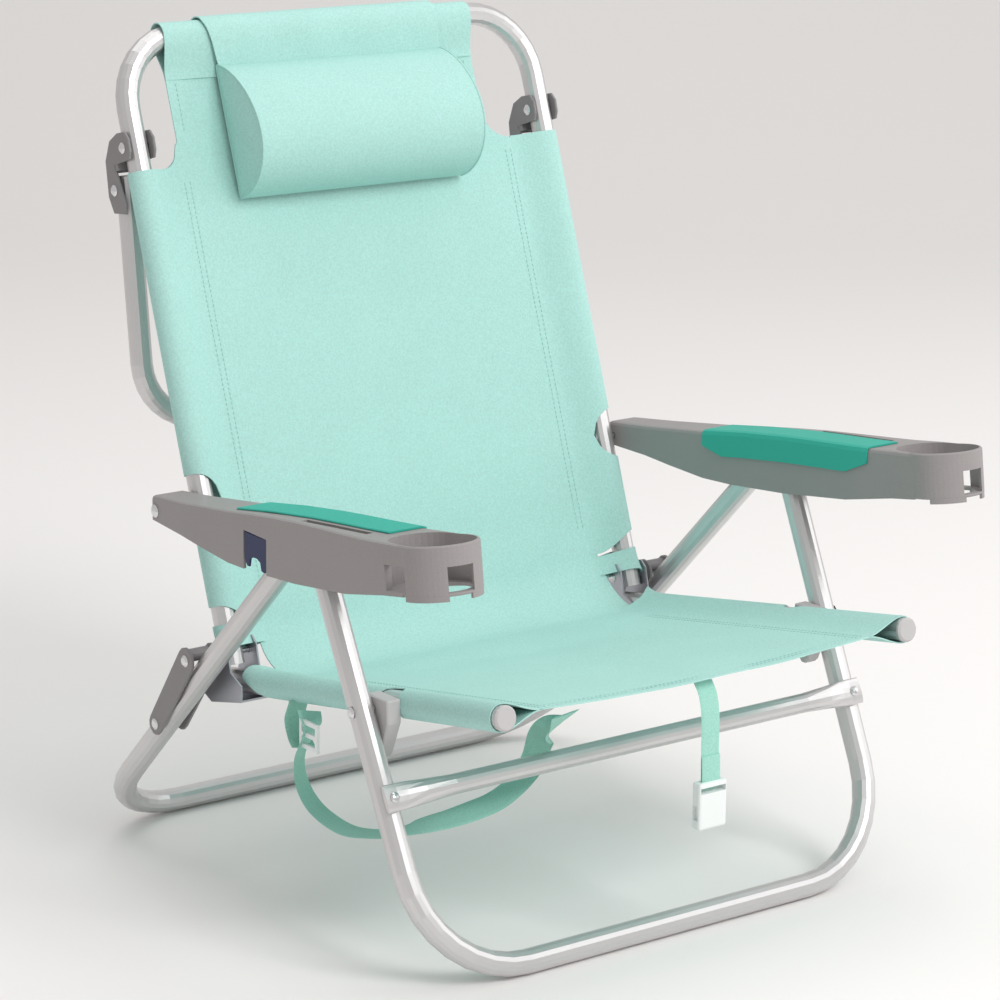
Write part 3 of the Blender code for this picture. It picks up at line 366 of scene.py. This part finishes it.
def ripple(x, t, size):
    """Slight waves of taut cloth: three crossed sines whose lengths don't fit each other."""
    return size * (np.sin(x * 31.0 + t * 23.0 + 0.6) * np.sin(t * 37.0 - x * 9.0)
                   + 0.6 * np.sin(x * 57.0 - t * 12.0 + 1.7) + 0.5 * np.sin(t * 71.0 + x * 17.0))


def cloth_strip(name, t, x_left, x_right, out, columns=61):
    """A strip of the sling between two side edges, raised by out along the line's normal.

    Each row is a straight run from edge to edge; each point is the sling line's point at t
    plus its normal times out at (x, t)."""
    share = np.linspace(0.0, 1.0, columns)[None, :]
    x = x_left[:, None] * (1 - share) + x_right[:, None] * share
    point, normal = sling_line(t)
    yz = point[:, None, :] + normal[:, None, :] * out(x, t[:, None])[..., None]
    return thickened(grid_object(name, placed(x, yz)))


def teardrop(turns=14, runs=12):
    """A sleeve's cross-section: it leaves the panel, rises in an S over the tube, rounds it by
    half a circle and comes back underneath. Gives (across, out) pairs; 0 is the tube's middle."""
    k = np.linspace(0.0, 1.0, runs)[:-1]
    rise = smooth_step(k)
    front = np.stack([-TAIL * (1 - k), 0.0006 + (SLEEVE_R - 0.0006) * rise], -1)
    a = np.linspace(math.pi / 2, -math.pi / 2, turns)
    round_ = np.stack([SLEEVE_R * np.cos(a), SLEEVE_R * np.sin(a)], -1)
    k = np.linspace(0.0, 1.0, runs)[1:]
    rear = np.stack([-TAIL * k, -SLEEVE_R + (SLEEVE_R - 0.0008) * smooth_step(k)], -1)
    return np.concatenate([front, round_, rear])


def sleeve(name, side, tube_x, low, high, rows):
    """A sleeve around a side tube; low and high give its ends' distance along the sling for
    each distance from the middle of the chair, so that its mouths can be cut to a curve."""
    section = teardrop()
    x = tube_x + section[:, 0]
    v = np.linspace(0.0, 1.0, rows)[:, None]
    t = low(x)[None, :] * (1 - v) + high(x)[None, :] * v
    point, normal = sling_line(t)
    yz = point + normal * section[None, :, 1, None]
    points = placed(np.broadcast_to(x * side, t.shape), yz)
    if side < 0:
        points = points[:, ::-1]
    return thickened(grid_object(name, points))


def half_round(x, edge, depth, height):
    """A half-ellipse cut in from edge: its half height at x, which is zero beyond its depth."""
    return height * np.sqrt(np.clip(1.0 - ((edge - x) / depth) ** 2, 0.0, 1.0))


# ---- the sling ---------------------------------------------------------------------------
NECK_LEFT, NECK_RIGHT = -0.1885, 0.1625
SHOULDER = BACK_ZERO + 0.4600
BOLT = BACK_ZERO + 0.1530
SEAM_X = BACK_X - TAIL


def neck_edge(t, neck):
    """The panel's side edge: along the seam, then a quarter round in to the neck's width."""
    inset = SEAM_X - abs(neck)
    start, round_ = (SHOULDER - 0.002, 0.030) if neck > 0 else (SHOULDER + 0.020, 0.004)
    k = np.clip((t - start) / round_, 0.0, 1.0)
    edge = SEAM_X - inset * np.sqrt(np.clip(1.0 - (1.0 - k) ** 2, 0.0, 1.0))
    low = smooth_step((BACK_ZERO + 0.060 - t) / 0.026)
    return (edge + 0.0095 * low) * math.copysign(1.0, neck)


def sling_back():
    """The back panel; above its neck the cloth goes over the top bar and back down behind."""
    t = np.concatenate([np.linspace(HALF_TURN, SHOULDER - 0.004, 60),
                        np.linspace(SHOULDER - 0.003, SHOULDER + 0.020, 14),
                        np.linspace(SHOULDER + 0.024, BAR - TAIL, 12)])
    left, right = neck_edge(t, NECK_LEFT), neck_edge(t, NECK_RIGHT)

    def out(x, t):
        inner = np.clip(1.0 - (x / SEAM_X) ** 2, 0.0, 1.0)
        fade = smooth_step((t - HALF_TURN) / 0.05)
        return 0.0006 - (0.004 * inner * fade) + ripple(x, t, 0.0005) * inner

    panel = cloth_strip("sling_back_panel", t, left, right, out)
    section = teardrop(turns=16)
    share = np.linspace(0.0, 1.0, 41)[None, :]
    x = NECK_LEFT * (1 - share) + NECK_RIGHT * share + np.zeros((len(section), 1))
    base = (BACK_TOP[None, :] + UP[None, :] * section[:, :1] + OUT[None, :] * section[:, 1:])
    yz = np.broadcast_to(base[:, None, :], (*x.shape, 2))
    top = thickened(grid_object("sling_top_sleeve", placed(x, yz)))
    dressed(panel, "mint_cloth", "back")
    dressed(top, "mint_cloth", "back")
    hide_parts("back_sling")


def back_sleeves():
    """Each side of the back has a sleeve in three lengths, with gaps for the arm's bolt and
    for the hinge."""
    outer = BACK_X + SLEEVE_R
    made = []

    def seam(x):
        return half_round(x, outer, 0.0270, 0.0245)

    def shoulder_left(x):
        u = np.clip((SEAM_X + 0.020 - x) / 0.020, 0.0, 1.0)
        return SHOULDER - 0.0015 + 0.0225 * (1.0 - np.sqrt(1.0 - u * u))

    def shoulder_right(x):
        return np.full(x.shape, SHOULDER - 0.0015)

    def hinge_top(x):
        return BACK_ZERO + 0.0370 + 0.0180 * smooth_step((x - SEAM_X - 0.010) / 0.043)

    def band_top(x):
        return BACK_ZERO + 0.0340 + 0.0035 * smooth_step((x - SEAM_X) / 0.05)

    def band_low(x):
        return BACK_ZERO + 0.0100 + 0.0050 * smooth_step((outer - x) / 0.05)

    for side, name in ((-1, "left"), (1, "right")):
        made.append(sleeve(f"sling_sleeve_upper_{name}", side, BACK_X,
                           lambda x: BOLT + seam(x),
                           shoulder_left if side < 0 else shoulder_right, 48))
        made.append(sleeve(f"sling_sleeve_lower_{name}", side, BACK_X,
                           hinge_top, lambda x: BOLT - seam(x), 20))
        made.append(sleeve(f"sling_band_{name}", side, BACK_X, band_low, band_top, 8))
    for piece in made:
        dressed(piece, "mint_cloth", "back")


def sling_turn():
    """The cloth between the seat and the back, in two strips that meet at the hinge pins."""
    for name, t0, t1, a, b in (("sling_turn_low", -HALF_TURN, 0.0, "seat", "hinge_pins"),
                               ("sling_turn_high", 0.0, HALF_TURN, "hinge_pins", "back")):
        t = np.linspace(t0, t1, 15)
        edge = 0.2005 + 0.0030 * np.cos(t / HALF_TURN * math.pi / 2)

        def out(x, t):
            return np.full(np.broadcast(x, t).shape, 0.0006)

        strip = cloth_strip(name, t, -edge, edge, out)
        strip.data.materials.clear()
        strip.data.materials.append(finish("mint_cloth"))
        start, _ = sling_line(np.array([t0]))
        end, _ = sling_line(np.array([t1]))
        placed(0.0, start)[0]
        placed(0.0, end)[0]
        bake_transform(strip)


def sling_seat():
    """The seat panel, which dips a little between its side tubes."""
    seam = SEAT_X - TAIL
    t = np.linspace(SEAT_END + 0.0020, -HALF_TURN, 46)
    edge = seam + (0.2005 - seam) * smooth_step((t - (-HALF_TURN - 0.030)) / 0.026)

    def out(x, t):
        inner = np.clip(1.0 - (x / seam) ** 2, 0.0, 1.0)
        fade = smooth_step((-HALF_TURN - t) / 0.08)
        return 0.0006 - 0.0055 * inner * fade + ripple(x, t, 0.0006) * inner * fade

    panel = cloth_strip("sling_seat_panel", t, -edge, edge, out)
    dressed(panel, "mint_cloth", "seat")
    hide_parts("seat_sling")
    return panel


def seat_sleeves():
    """Each seat tube has a sleeve in two lengths that part around the leg's spacer."""
    outer = SEAT_X + SLEEVE_R
    leg = SEAT_END + (-0.2490 + 0.3985) / REARWARD[0]

    def gap(x):
        return half_round(x, outer, 0.0190, 0.0150)

    def front(x):
        return np.full(x.shape, SEAT_END + 0.0030)

    def rear(x):
        mouth = SEAT_END + (0.3985 - 0.0230) / REARWARD[0]
        return mouth - 0.0200 * smooth_step((outer - x) / 0.03)

    for side, name in ((-1, "left"), (1, "right")):
        for part, low, high, rows in (("front", front, lambda x: leg - gap(x), 24),
                                      ("rear", lambda x: leg + gap(x), rear, 30)):
            piece = sleeve(f"seat_sleeve_{part}_{name}", side, SEAT_X, low, high, rows)
            dressed(piece, "mint_cloth", "seat")


# ---- stitching ---------------------------------------------------------------------------
def stitch_row(x, t, out, pitch=0.0046, length=0.0031, radius=0.00036):
    """Dashes of thread along a line on the sling: each is a short spindle, whose radius falls
    off towards its ends, half sunk in the cloth."""
    x, t, out = np.broadcast_arrays(np.asarray(x, float), np.asarray(t, float), out)
    point, normal = sling_line(t)
    line = placed(x, point + normal * out[:, None])
    normal = np.stack([np.zeros(len(t)), normal[:, 0], normal[:, 1]], -1)
    return spindles(line, normal, pitch, length, radius)


def spindles(line, normal, pitch, length, radius):
    """Rings of points for evenly spaced spindles: four rings of six points for each, set
    along the line's direction, with the first and last rings drawn in."""
    step = np.linalg.norm(np.diff(line, axis=0), axis=1)
    run = np.concatenate([[0.0], np.cumsum(step)])
    at = np.arange(pitch, run[-1] - pitch / 2, pitch)
    centre = np.stack([np.interp(at, run, line[:, k]) for k in range(3)], -1)
    ahead = np.stack([np.interp(at + 0.0005, run, line[:, k]) for k in range(3)], -1)
    up = np.stack([np.interp(at, run, normal[:, k]) for k in range(3)], -1)
    along = ahead - centre
    along /= np.linalg.norm(along, axis=1)[:, None] + 1e-12
    up -= along * np.sum(along * up, axis=1)[:, None]
    up /= np.linalg.norm(up, axis=1)[:, None]
    side = np.cross(along, up)
    place = np.array([-0.5, -0.3, 0.3, 0.5]) * length
    girth = np.array([0.3, 1.0, 1.0, 0.3]) * radius
    a = np.arange(6) * math.pi / 3
    across, rise = np.cos(a)[None, None, :, None], np.sin(a)[None, None, :, None]
    wall = side[:, None, None] * across + up[:, None, None] * rise
    points = (centre[:, None, None] + along[:, None, None] * place[None, :, None, None]
              + girth[None, :, None, None] * wall)
    return points


def stitch_object(name, rows, body):
    """One mesh of all the dashes in a list of rows."""
    points = np.concatenate(rows)
    count = len(points)
    i, j = np.meshgrid(np.arange(3), np.arange(6), indexing="ij")
    k = (j + 1) % 6
    quads = np.stack([i * 6 + j, i * 6 + k, (i + 1) * 6 + k, (i + 1) * 6 + j], -1).reshape(-1, 4)
    base = np.arange(count)[:, None, None] * 24
    faces = (quads[None] + base).reshape(-1, 4).tolist()
    faces += (np.arange(6)[None, ::-1] + base[:, 0]).tolist()
    faces += (np.arange(18, 24)[None] + base[:, 0]).tolist()
    mesh = bpy.data.meshes.new(name)
    mesh.from_pydata(points.reshape(-1, 3).tolist(), [], faces)
    mesh.shade_smooth()
    obj = bpy.data.objects.new(name, mesh)
    bpy.context.scene.collection.objects.link(obj)
    return dressed(obj, "mint_thread", body)


def sling_stitching():
    """Double rows along the side seams, the neck, the top sleeve and the seat's edges."""
    rows = []
    t = np.linspace(BACK_ZERO + 0.062, SHOULDER - 0.010, 90)
    for side in (-1, 1):
        for inset in (0.0022, 0.0082):
            x = SEAM_X - inset
            out = 0.0008 - 0.004 * (1 - (x / SEAM_X) ** 2)
            rows.append(stitch_row(np.full(90, side * x), t, np.full(90, out)))
    t = np.linspace(SHOULDER + 0.030, BAR - TAIL - 0.002, 20)
    for neck in (NECK_LEFT, NECK_RIGHT):
        rows.append(stitch_row(np.full(20, neck - math.copysign(0.010, neck)), t,
                               np.full(20, 0.0003)))
    x = np.linspace(NECK_LEFT + 0.004, NECK_RIGHT - 0.004, 40)
    rows.append(stitch_row(x, np.full(40, BAR - TAIL - 0.002), np.full(40, -0.0028)))
    stitch_object("stitching_back", rows, "back")
    seam = SEAT_X - TAIL
    rows = []
    t = np.linspace(SEAT_END + 0.006, -HALF_TURN - 0.035, 80)
    for side in (-1, 1):
        for inset in (0.0022, 0.0082):
            x = seam - inset
            out = 0.0008 - 0.0055 * (1 - (x / seam) ** 2)
            rows.append(stitch_row(np.full(80, side * x), t, np.full(80, out)))
    x = np.linspace(-seam + 0.010, seam - 0.010, 60)
    for back in (0.012, 0.018):
        out = 0.0008 - 0.0055 * (1 - (x / seam) ** 2)
        rows.append(stitch_row(x, np.full(60, SEAT_END + back), out))
    stitch_object("stitching_seat", rows, "seat")


# ---- the head pillow ---------------------------------------------------------------------
PILLOW_LEFT, PILLOW_RIGHT = -0.1330, 0.1215
PILLOW_TOP, PILLOW_LOW = 0.5510, 0.4240
PILLOW_DEPTH = 0.0545
SEAM_RADIUS = 0.0009
MOST_SWELL = 0.006           # the simulation may move the cloth this far


def pillow_section(count=44):
    """The pillow's D: up its flat back, then down its front, whose depth is a power of the way
    from the top times a power of the way to the bottom, so it bulges most below the middle."""
    q = 0.5 - 0.5 * np.cos(np.linspace(0.0, math.pi, count))
    f = q ** 0.72 * (1.0 - q) ** 0.5
    top_down = PILLOW_TOP + (PILLOW_LOW - PILLOW_TOP) * q
    front = np.stack([top_down, 0.0040 + PILLOW_DEPTH * f / f.max()], -1)
    k = np.linspace(0.0, 1.0, 22)[1:-1]
    back = np.stack([PILLOW_LOW + (PILLOW_TOP - PILLOW_LOW) * k, 0.0032 + 0.0 * k], -1)
    return np.concatenate([front, back])


def on_back(x, s, out):
    """Points at a height s above the back's foot and out in front of the back's plane."""
    yz = BACK_FOOT + UP * np.asarray(s)[..., None] + OUT * np.asarray(out)[..., None]
    return placed(x, yz)


def pillow():
    """A stuffed bolster with flat end panels, swollen between its seams by a cloth simulation.

    Rows run from end to end. Each is the D section about its middle, shrunk by a share that
    closes the end panels, and the front bulges a little more in the middle of the length."""
    section = pillow_section()
    middle = np.array([0.5 * (PILLOW_TOP + PILLOW_LOW), 0.022])
    cap = np.array([0.02, 0.2, 0.4, 0.6, 0.8])
    x = np.concatenate([np.full(5, PILLOW_LEFT), np.linspace(PILLOW_LEFT, PILLOW_RIGHT, 61),
                        np.full(5, PILLOW_RIGHT)])
    shares = np.concatenate([cap, np.ones(61), cap[::-1]])
    swell = np.where(shares >= 1.0, 1.0, 0.0)
    place = (x - PILLOW_LEFT) / (PILLOW_RIGHT - PILLOW_LEFT)
    full = 1.0 + 0.030 * np.sin(np.clip(place, 0, 1) * math.pi) ** 0.5 * swell
    dome = 0.0040 * (1 - shares ** 2) * np.sign(place - 0.5)
    x = x + np.where(shares < 1.0, dome, 0.0)
    ring = middle + (section - middle) * shares[:, None, None]
    out = ring[..., 1] * np.where(ring[..., 1] > 0.0041, full[:, None], 1.0)
    points = on_back(np.broadcast_to(x[:, None], out.shape), ring[..., 0], out)
    body = grid_object("head_pillow", points, close_u=True, caps=True)
    fix_normals(body)
    swollen(body, points, section)
    dressed(body, "mint_cloth", "pillow")
    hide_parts("pillow")
    for name, at in (("left", PILLOW_LEFT), ("right", PILLOW_RIGHT)):
        piping(f"pillow_piping_{name}", at, section)


def corners(mesh):
    """A mesh's vertices as an array."""
    co = np.zeros(len(mesh.vertices) * 3)
    mesh.vertices.foreach_get("co", co)
    return co.reshape(-1, 3)


def fix_normals(obj):
    """Turns a closed mesh's faces outwards if its signed volume is negative."""
    mesh = obj.data
    co = corners(mesh)
    mesh.calc_loop_triangles()
    tri = np.zeros(len(mesh.loop_triangles) * 3, int)
    mesh.loop_triangles.foreach_get("vertices", tri)
    a, b, c = co[tri.reshape(-1, 3).T]
    if np.sum(a * np.cross(b, c)) < 0:
        mesh.flip_normals()


def swollen(obj, points, section):
    """Lets the pillow's cloth fill with air for a few frames, held at its seams and its back."""
    rows, cols = points.shape[:2]
    seam = np.zeros((rows, cols), bool)
    seam[:6] = True
    seam[-6:] = True
    seam[:, section[:, 1] < 0.0041] = True
    group = obj.vertex_groups.new(name="seams")
    held = np.flatnonzero(seam.reshape(-1)).tolist()
    group.add(held, 1.0, "REPLACE")
    start = corners(obj.data)
    cloth = obj.modifiers.new("cloth", "CLOTH")
    cloth.settings.quality = 5
    cloth.settings.mass = 0.2
    cloth.settings.tension_stiffness = 12
    cloth.settings.compression_stiffness = 12
    cloth.settings.bending_stiffness = 0.4
    cloth.settings.use_pressure = True
    cloth.settings.uniform_pressure_force = 4.0
    cloth.settings.effector_weights.gravity = 0.0
    cloth.settings.vertex_group_mass = "seams"
    cloth.collision_settings.use_collision = False
    scene = bpy.context.scene
    cloth.point_cache.frame_start, cloth.point_cache.frame_end = 1, 20
    for frame_number in range(1, 21):
        scene.frame_set(frame_number)
    applied(obj)
    moved = corners(obj.data) - start
    reach = np.linalg.norm(moved, axis=1)[:, None]
    now = start + moved * np.minimum(1.0, MOST_SWELL / np.maximum(reach, 1e-9))
    obj.data.vertices.foreach_set("co", now.reshape(-1))
    obj.data.update()
    scene.frame_set(1)


def ring_tube(name, line, radius, sides=8):
    """A closed cord along a loop: a circle carried square to the loop's direction."""
    along = np.roll(line, -1, 0) - np.roll(line, 1, 0)
    along /= np.linalg.norm(along, axis=1)[:, None]
    side = np.cross(along, np.array([1.0, 0.0, 0.0]))
    side /= np.linalg.norm(side, axis=1)[:, None]
    up = np.cross(side, along)
    a = np.arange(sides) * 2 * math.pi / sides
    points = (line[:, None] + radius * (side[:, None] * np.cos(a)[None, :, None]
                                        + up[:, None] * np.sin(a)[None, :, None]))
    points = np.concatenate([points, points[:1]])
    obj = grid_object(name, points, close_u=True)
    weld = obj.modifiers.new("weld", "WELD")
    weld.merge_threshold = 1e-6
    applied(obj)
    fix_normals(obj)
    return obj


def piping(name, x, section):
    """The seam round an end of the pillow."""
    line = on_back(np.full(len(section), x), section[:, 0], section[:, 1])
    obj = ring_tube(name, line, SEAM_RADIUS)
    dressed(obj, "mint_cloth", "pillow")


def pillow_flap():
    """The flap that holds the pillow: up from its top, over the bar and down behind.

    Its path is a smooth rise to just off the sleeve, an arc round the bar and a straight run
    down that eases in; rows follow the path and each runs from edge to edge."""
    radius = SLEEVE_R + 0.0022
    rise = np.linspace(0.0, 1.0, 12)
    start, stop, lift = PILLOW_TOP - 0.006, 0.583, 0.0062
    up = np.stack([start + (stop - start) * rise,
                   lift + (radius - lift) * smooth_step(rise * 1.05)], -1)
    a = np.linspace(math.radians(8), math.radians(172), 22)
    bar = np.linalg.norm(BACK_TOP - BACK_FOOT)
    over = np.stack([bar + radius * np.sin(a), radius * np.cos(a)], -1)
    down = np.stack([bar - 0.001 - 0.040 * rise, -radius + 0.0085 * smooth_step(rise)], -1)
    path = np.concatenate([up, over, down])
    share = np.linspace(0.0, 1.0, 49)[None, :]
    lean = np.clip((path[:, :1] - PILLOW_TOP) / 0.04, 0.0, 1.0)
    left, right = PILLOW_LEFT - 0.012 * lean, PILLOW_RIGHT - 0.003 * lean
    x = left * (1 - share) + right * share
    wave = 0.0004 * np.sin(x * 90.0 + path[:, :1] * 40.0) * (path[:, 1:] > 0)
    points = on_back(x, np.broadcast_to(path[:, :1], x.shape), path[:, 1:] + wave)
    flap = thickened(grid_object("pillow_flap_cloth", points), offset=1.0)
    dressed(flap, "mint_cloth", "pillow")
    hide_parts("pillow_flap")


# ---- straps ------------------------------------------------------------------------------
def spline(knots, each):
    """A smooth line through knots: each stretch is the Catmull-Rom cubic of its four knots."""
    knots = np.asarray(knots, float)
    padded = np.concatenate([2 * knots[:1] - knots[1:2], knots, 2 * knots[-1:] - knots[-2:-1]])
    u = (np.arange(each) / each)[None, :, None]
    a, b, c, d = (padded[k:len(padded) - 3 + k][:, None] for k in range(4))
    line = 0.5 * (2 * b + (c - a) * u + (2 * a - 5 * b + 4 * c - d) * u ** 2
                  + (3 * b - a - 3 * c + d) * u ** 3)
    return np.concatenate([line.reshape(-1, knots.shape[1]), knots[-1:]])


def webbing(name, line, across, width=0.025, thick=0.0014):
    """A flat strap: a rounded oblong section carried along a line, turned to face across."""
    along = np.gradient(line, axis=0)
    along /= np.linalg.norm(along, axis=1)[:, None]
    across = across - along * np.sum(across * along, axis=1)[:, None]
    across /= np.linalg.norm(across, axis=1)[:, None]
    face = np.cross(along, across)
    w = np.linspace(-1.0, 1.0, 13)
    crown = np.sqrt(np.clip(1.0 - np.abs(w) ** 8, 0.0, 1.0))
    ring = np.concatenate([np.stack([w * width / 2, crown * thick / 2], -1),
                           np.stack([w[::-1] * width / 2, -crown * thick / 2], -1)[1:-1]])
    points = (line[:, None] + across[:, None] * ring[None, :, :1]
              + face[:, None] * ring[None, :, 1:])
    obj = grid_object(name, points, close_u=True, caps=True)
    fix_normals(obj)
    obj.data.set_sharp_from_angle(angle=SHARP_ANGLE)
    uv = obj.data.uv_layers.new(name="strap")
    run = np.concatenate([[0.0], np.cumsum(np.linalg.norm(np.diff(line, axis=0), axis=1))])
    rows, cols = points.shape[:2]
    per_vertex = np.stack([np.broadcast_to(ring[None, :, 0], (rows, cols)),
                           np.broadcast_to(run[:, None], (rows, cols))], -1).reshape(-1, 2)
    loops = np.zeros(len(obj.data.loops), int)
    obj.data.loops.foreach_get("vertex_index", loops)
    uv.data.foreach_set("uv", per_vertex[loops].reshape(-1))
    return dressed(obj, "mint_webbing", "seat")


def carry_strap():
    """The webbing loop under the left of the seat, with its short anchor loop at the top."""
    knots = np.array([
        (-0.2310, -0.1200, 0.1900), (-0.2345, -0.1280, 0.1750), (-0.2360, -0.1120, 0.1450),
        (-0.2360, -0.1170, 0.1210), (-0.2360, -0.1420, 0.1040), (-0.2350, -0.1850, 0.0980),
        (-0.2310, -0.2280, 0.1060), (-0.2220, -0.2560, 0.1160), (-0.2030, -0.2650, 0.1200),
        (-0.1800, -0.2660, 0.1210), (-0.1550, -0.2630, 0.1220), (-0.1280, -0.2600, 0.1250),
        (-0.1020, -0.2570, 0.1350), (-0.0840, -0.2560, 0.1520), (-0.0820, -0.2620, 0.1720),
        (-0.0960, -0.2900, 0.1920), (-0.1130, -0.3300, 0.2120), (-0.1400, -0.3720, 0.2360)])
    line = spline(knots, 7) + np.array([0.0, CENTRE_Y, 0.0])
    facing = np.array([(1.0, 0.1, 0.0)] + [(0.93, 0.36, 0.0)] + [(0.85, 0.53, 0.0)] * 5 + [
                      (0.7, 0.7, 0.1), (0.3, 1.0, 0.25), (0.1, 1.0, 0.3),
                      (0.0, 1.0, 0.35), (-0.1, 1.0, 0.3), (-0.35, 1.0, 0.1), (-0.5, 0.9, 0.0),
                      (-0.3, 0.9, 0.0), (0.3, 0.8, 0.0), (0.8, 0.5, 0.0), (1.0, 0.1, 0.0)])
    strap = webbing("carry_strap_webbing", line, spline(facing, 7))
    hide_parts("carry_strap")
    upper = spline(np.array([(-0.2270, -0.0980, 0.1940), (-0.2300, -0.0960, 0.1780),
                             (-0.2330, -0.1060, 0.1640), (-0.2350, -0.1170, 0.1560)]), 6)
    anchor = webbing("carry_strap_anchor", upper + np.array([0.0, CENTRE_Y, 0.0]),
                     np.broadcast_to(np.array([1.0, 0.15, 0.0]), upper.shape))


def buckle_strap():
    """The short strap under the seat's front edge, folded through its buckle and sewn."""
    knots = np.array([(0.0, -0.3850, 0.2440), (0.0, -0.3925, 0.2330), (0.0, -0.3965, 0.2150),
                      (0.0, -0.3972, 0.1850), (0.0, -0.3980, 0.1500)])
    line = spline(knots, 8) + np.array([0.0, CENTRE_Y, 0.0])
    across = np.broadcast_to(np.array([1.0, 0.0, 0.0]), line.shape)
    strap = webbing("buckle_strap_webbing", line, across, width=0.0205)
    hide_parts("buckle_strap")
    tail = spline(np.array([(0.0, -0.3990, 0.1520), (0.0, -0.3996, 0.1600), (0.0, -0.3988, 0.1760),
                            (0.0, -0.3984, 0.1800)]), 5)
    tail = webbing("buckle_strap_tail", tail + np.array([0.0, CENTRE_Y, 0.0]),
                   np.broadcast_to(np.array([1.0, 0.0, 0.0]), tail.shape), width=0.0205)


# ---- operators ---------------------------------------------------------------------------
class CHAIR_OT_sling(bpy.types.Operator):
    """Makes the sling: its panels, side sleeves and the turn between seat and back"""

    bl_idname = "chair.sling"
    bl_label = "Sling"

    def execute(self, context):
        sling_back()
        back_sleeves()
        sling_turn()
        sling_seat()
        seat_sleeves()
        sling_stitching()
        return {"FINISHED"}


class CHAIR_OT_head_pillow(bpy.types.Operator):
    """Makes the head pillow and the flap that holds it on the top bar"""

    bl_idname = "chair.head_pillow"
    bl_label = "Head pillow"

    def execute(self, context):
        pillow()
        pillow_flap()
        return {"FINISHED"}


class CHAIR_OT_straps(bpy.types.Operator):
    """Makes the carry strap and the buckle strap"""

    bl_idname = "chair.straps"
    bl_label = "Straps"

    def execute(self, context):
        carry_strap()
        buckle_strap()
        return {"FINISHED"}


class CHAIR_PT_panel(bpy.types.Panel):
    """Lists the chair's makers in the sidebar"""

    bl_idname = "CHAIR_PT_panel"
    bl_label = "Beach Chair"
    bl_space_type = "VIEW_3D"
    bl_region_type = "UI"
    bl_category = "Beach Chair"

    def draw(self, context):
        for operator in OPERATORS:
            self.layout.operator(operator.bl_idname)


OPERATORS = (CHAIR_OT_stage, CHAIR_OT_straps, CHAIR_OT_frame_finishes, CHAIR_OT_sling,
             CHAIR_OT_head_pillow)
CLASSES = (ChairColours, ChairSizes, *OPERATORS, CHAIR_PT_panel)


def register():
    for cls in CLASSES:
        bpy.utils.register_class(cls)
    bpy.types.Scene.chair_colours = bpy.props.PointerProperty(type=ChairColours)
    bpy.types.Scene.chair_sizes = bpy.props.PointerProperty(type=ChairSizes)


def unregister():
    del bpy.types.Scene.chair_sizes
    del bpy.types.Scene.chair_colours
    for cls in reversed(CLASSES):
        bpy.utils.unregister_class(cls)


def main():
    register()
    bpy.ops.chair.stage()
    bpy.ops.chair.straps()
    bpy.ops.chair.frame_finishes()
    bpy.ops.chair.sling()
    bpy.ops.chair.head_pillow()


if __name__ == "__main__":
    main()
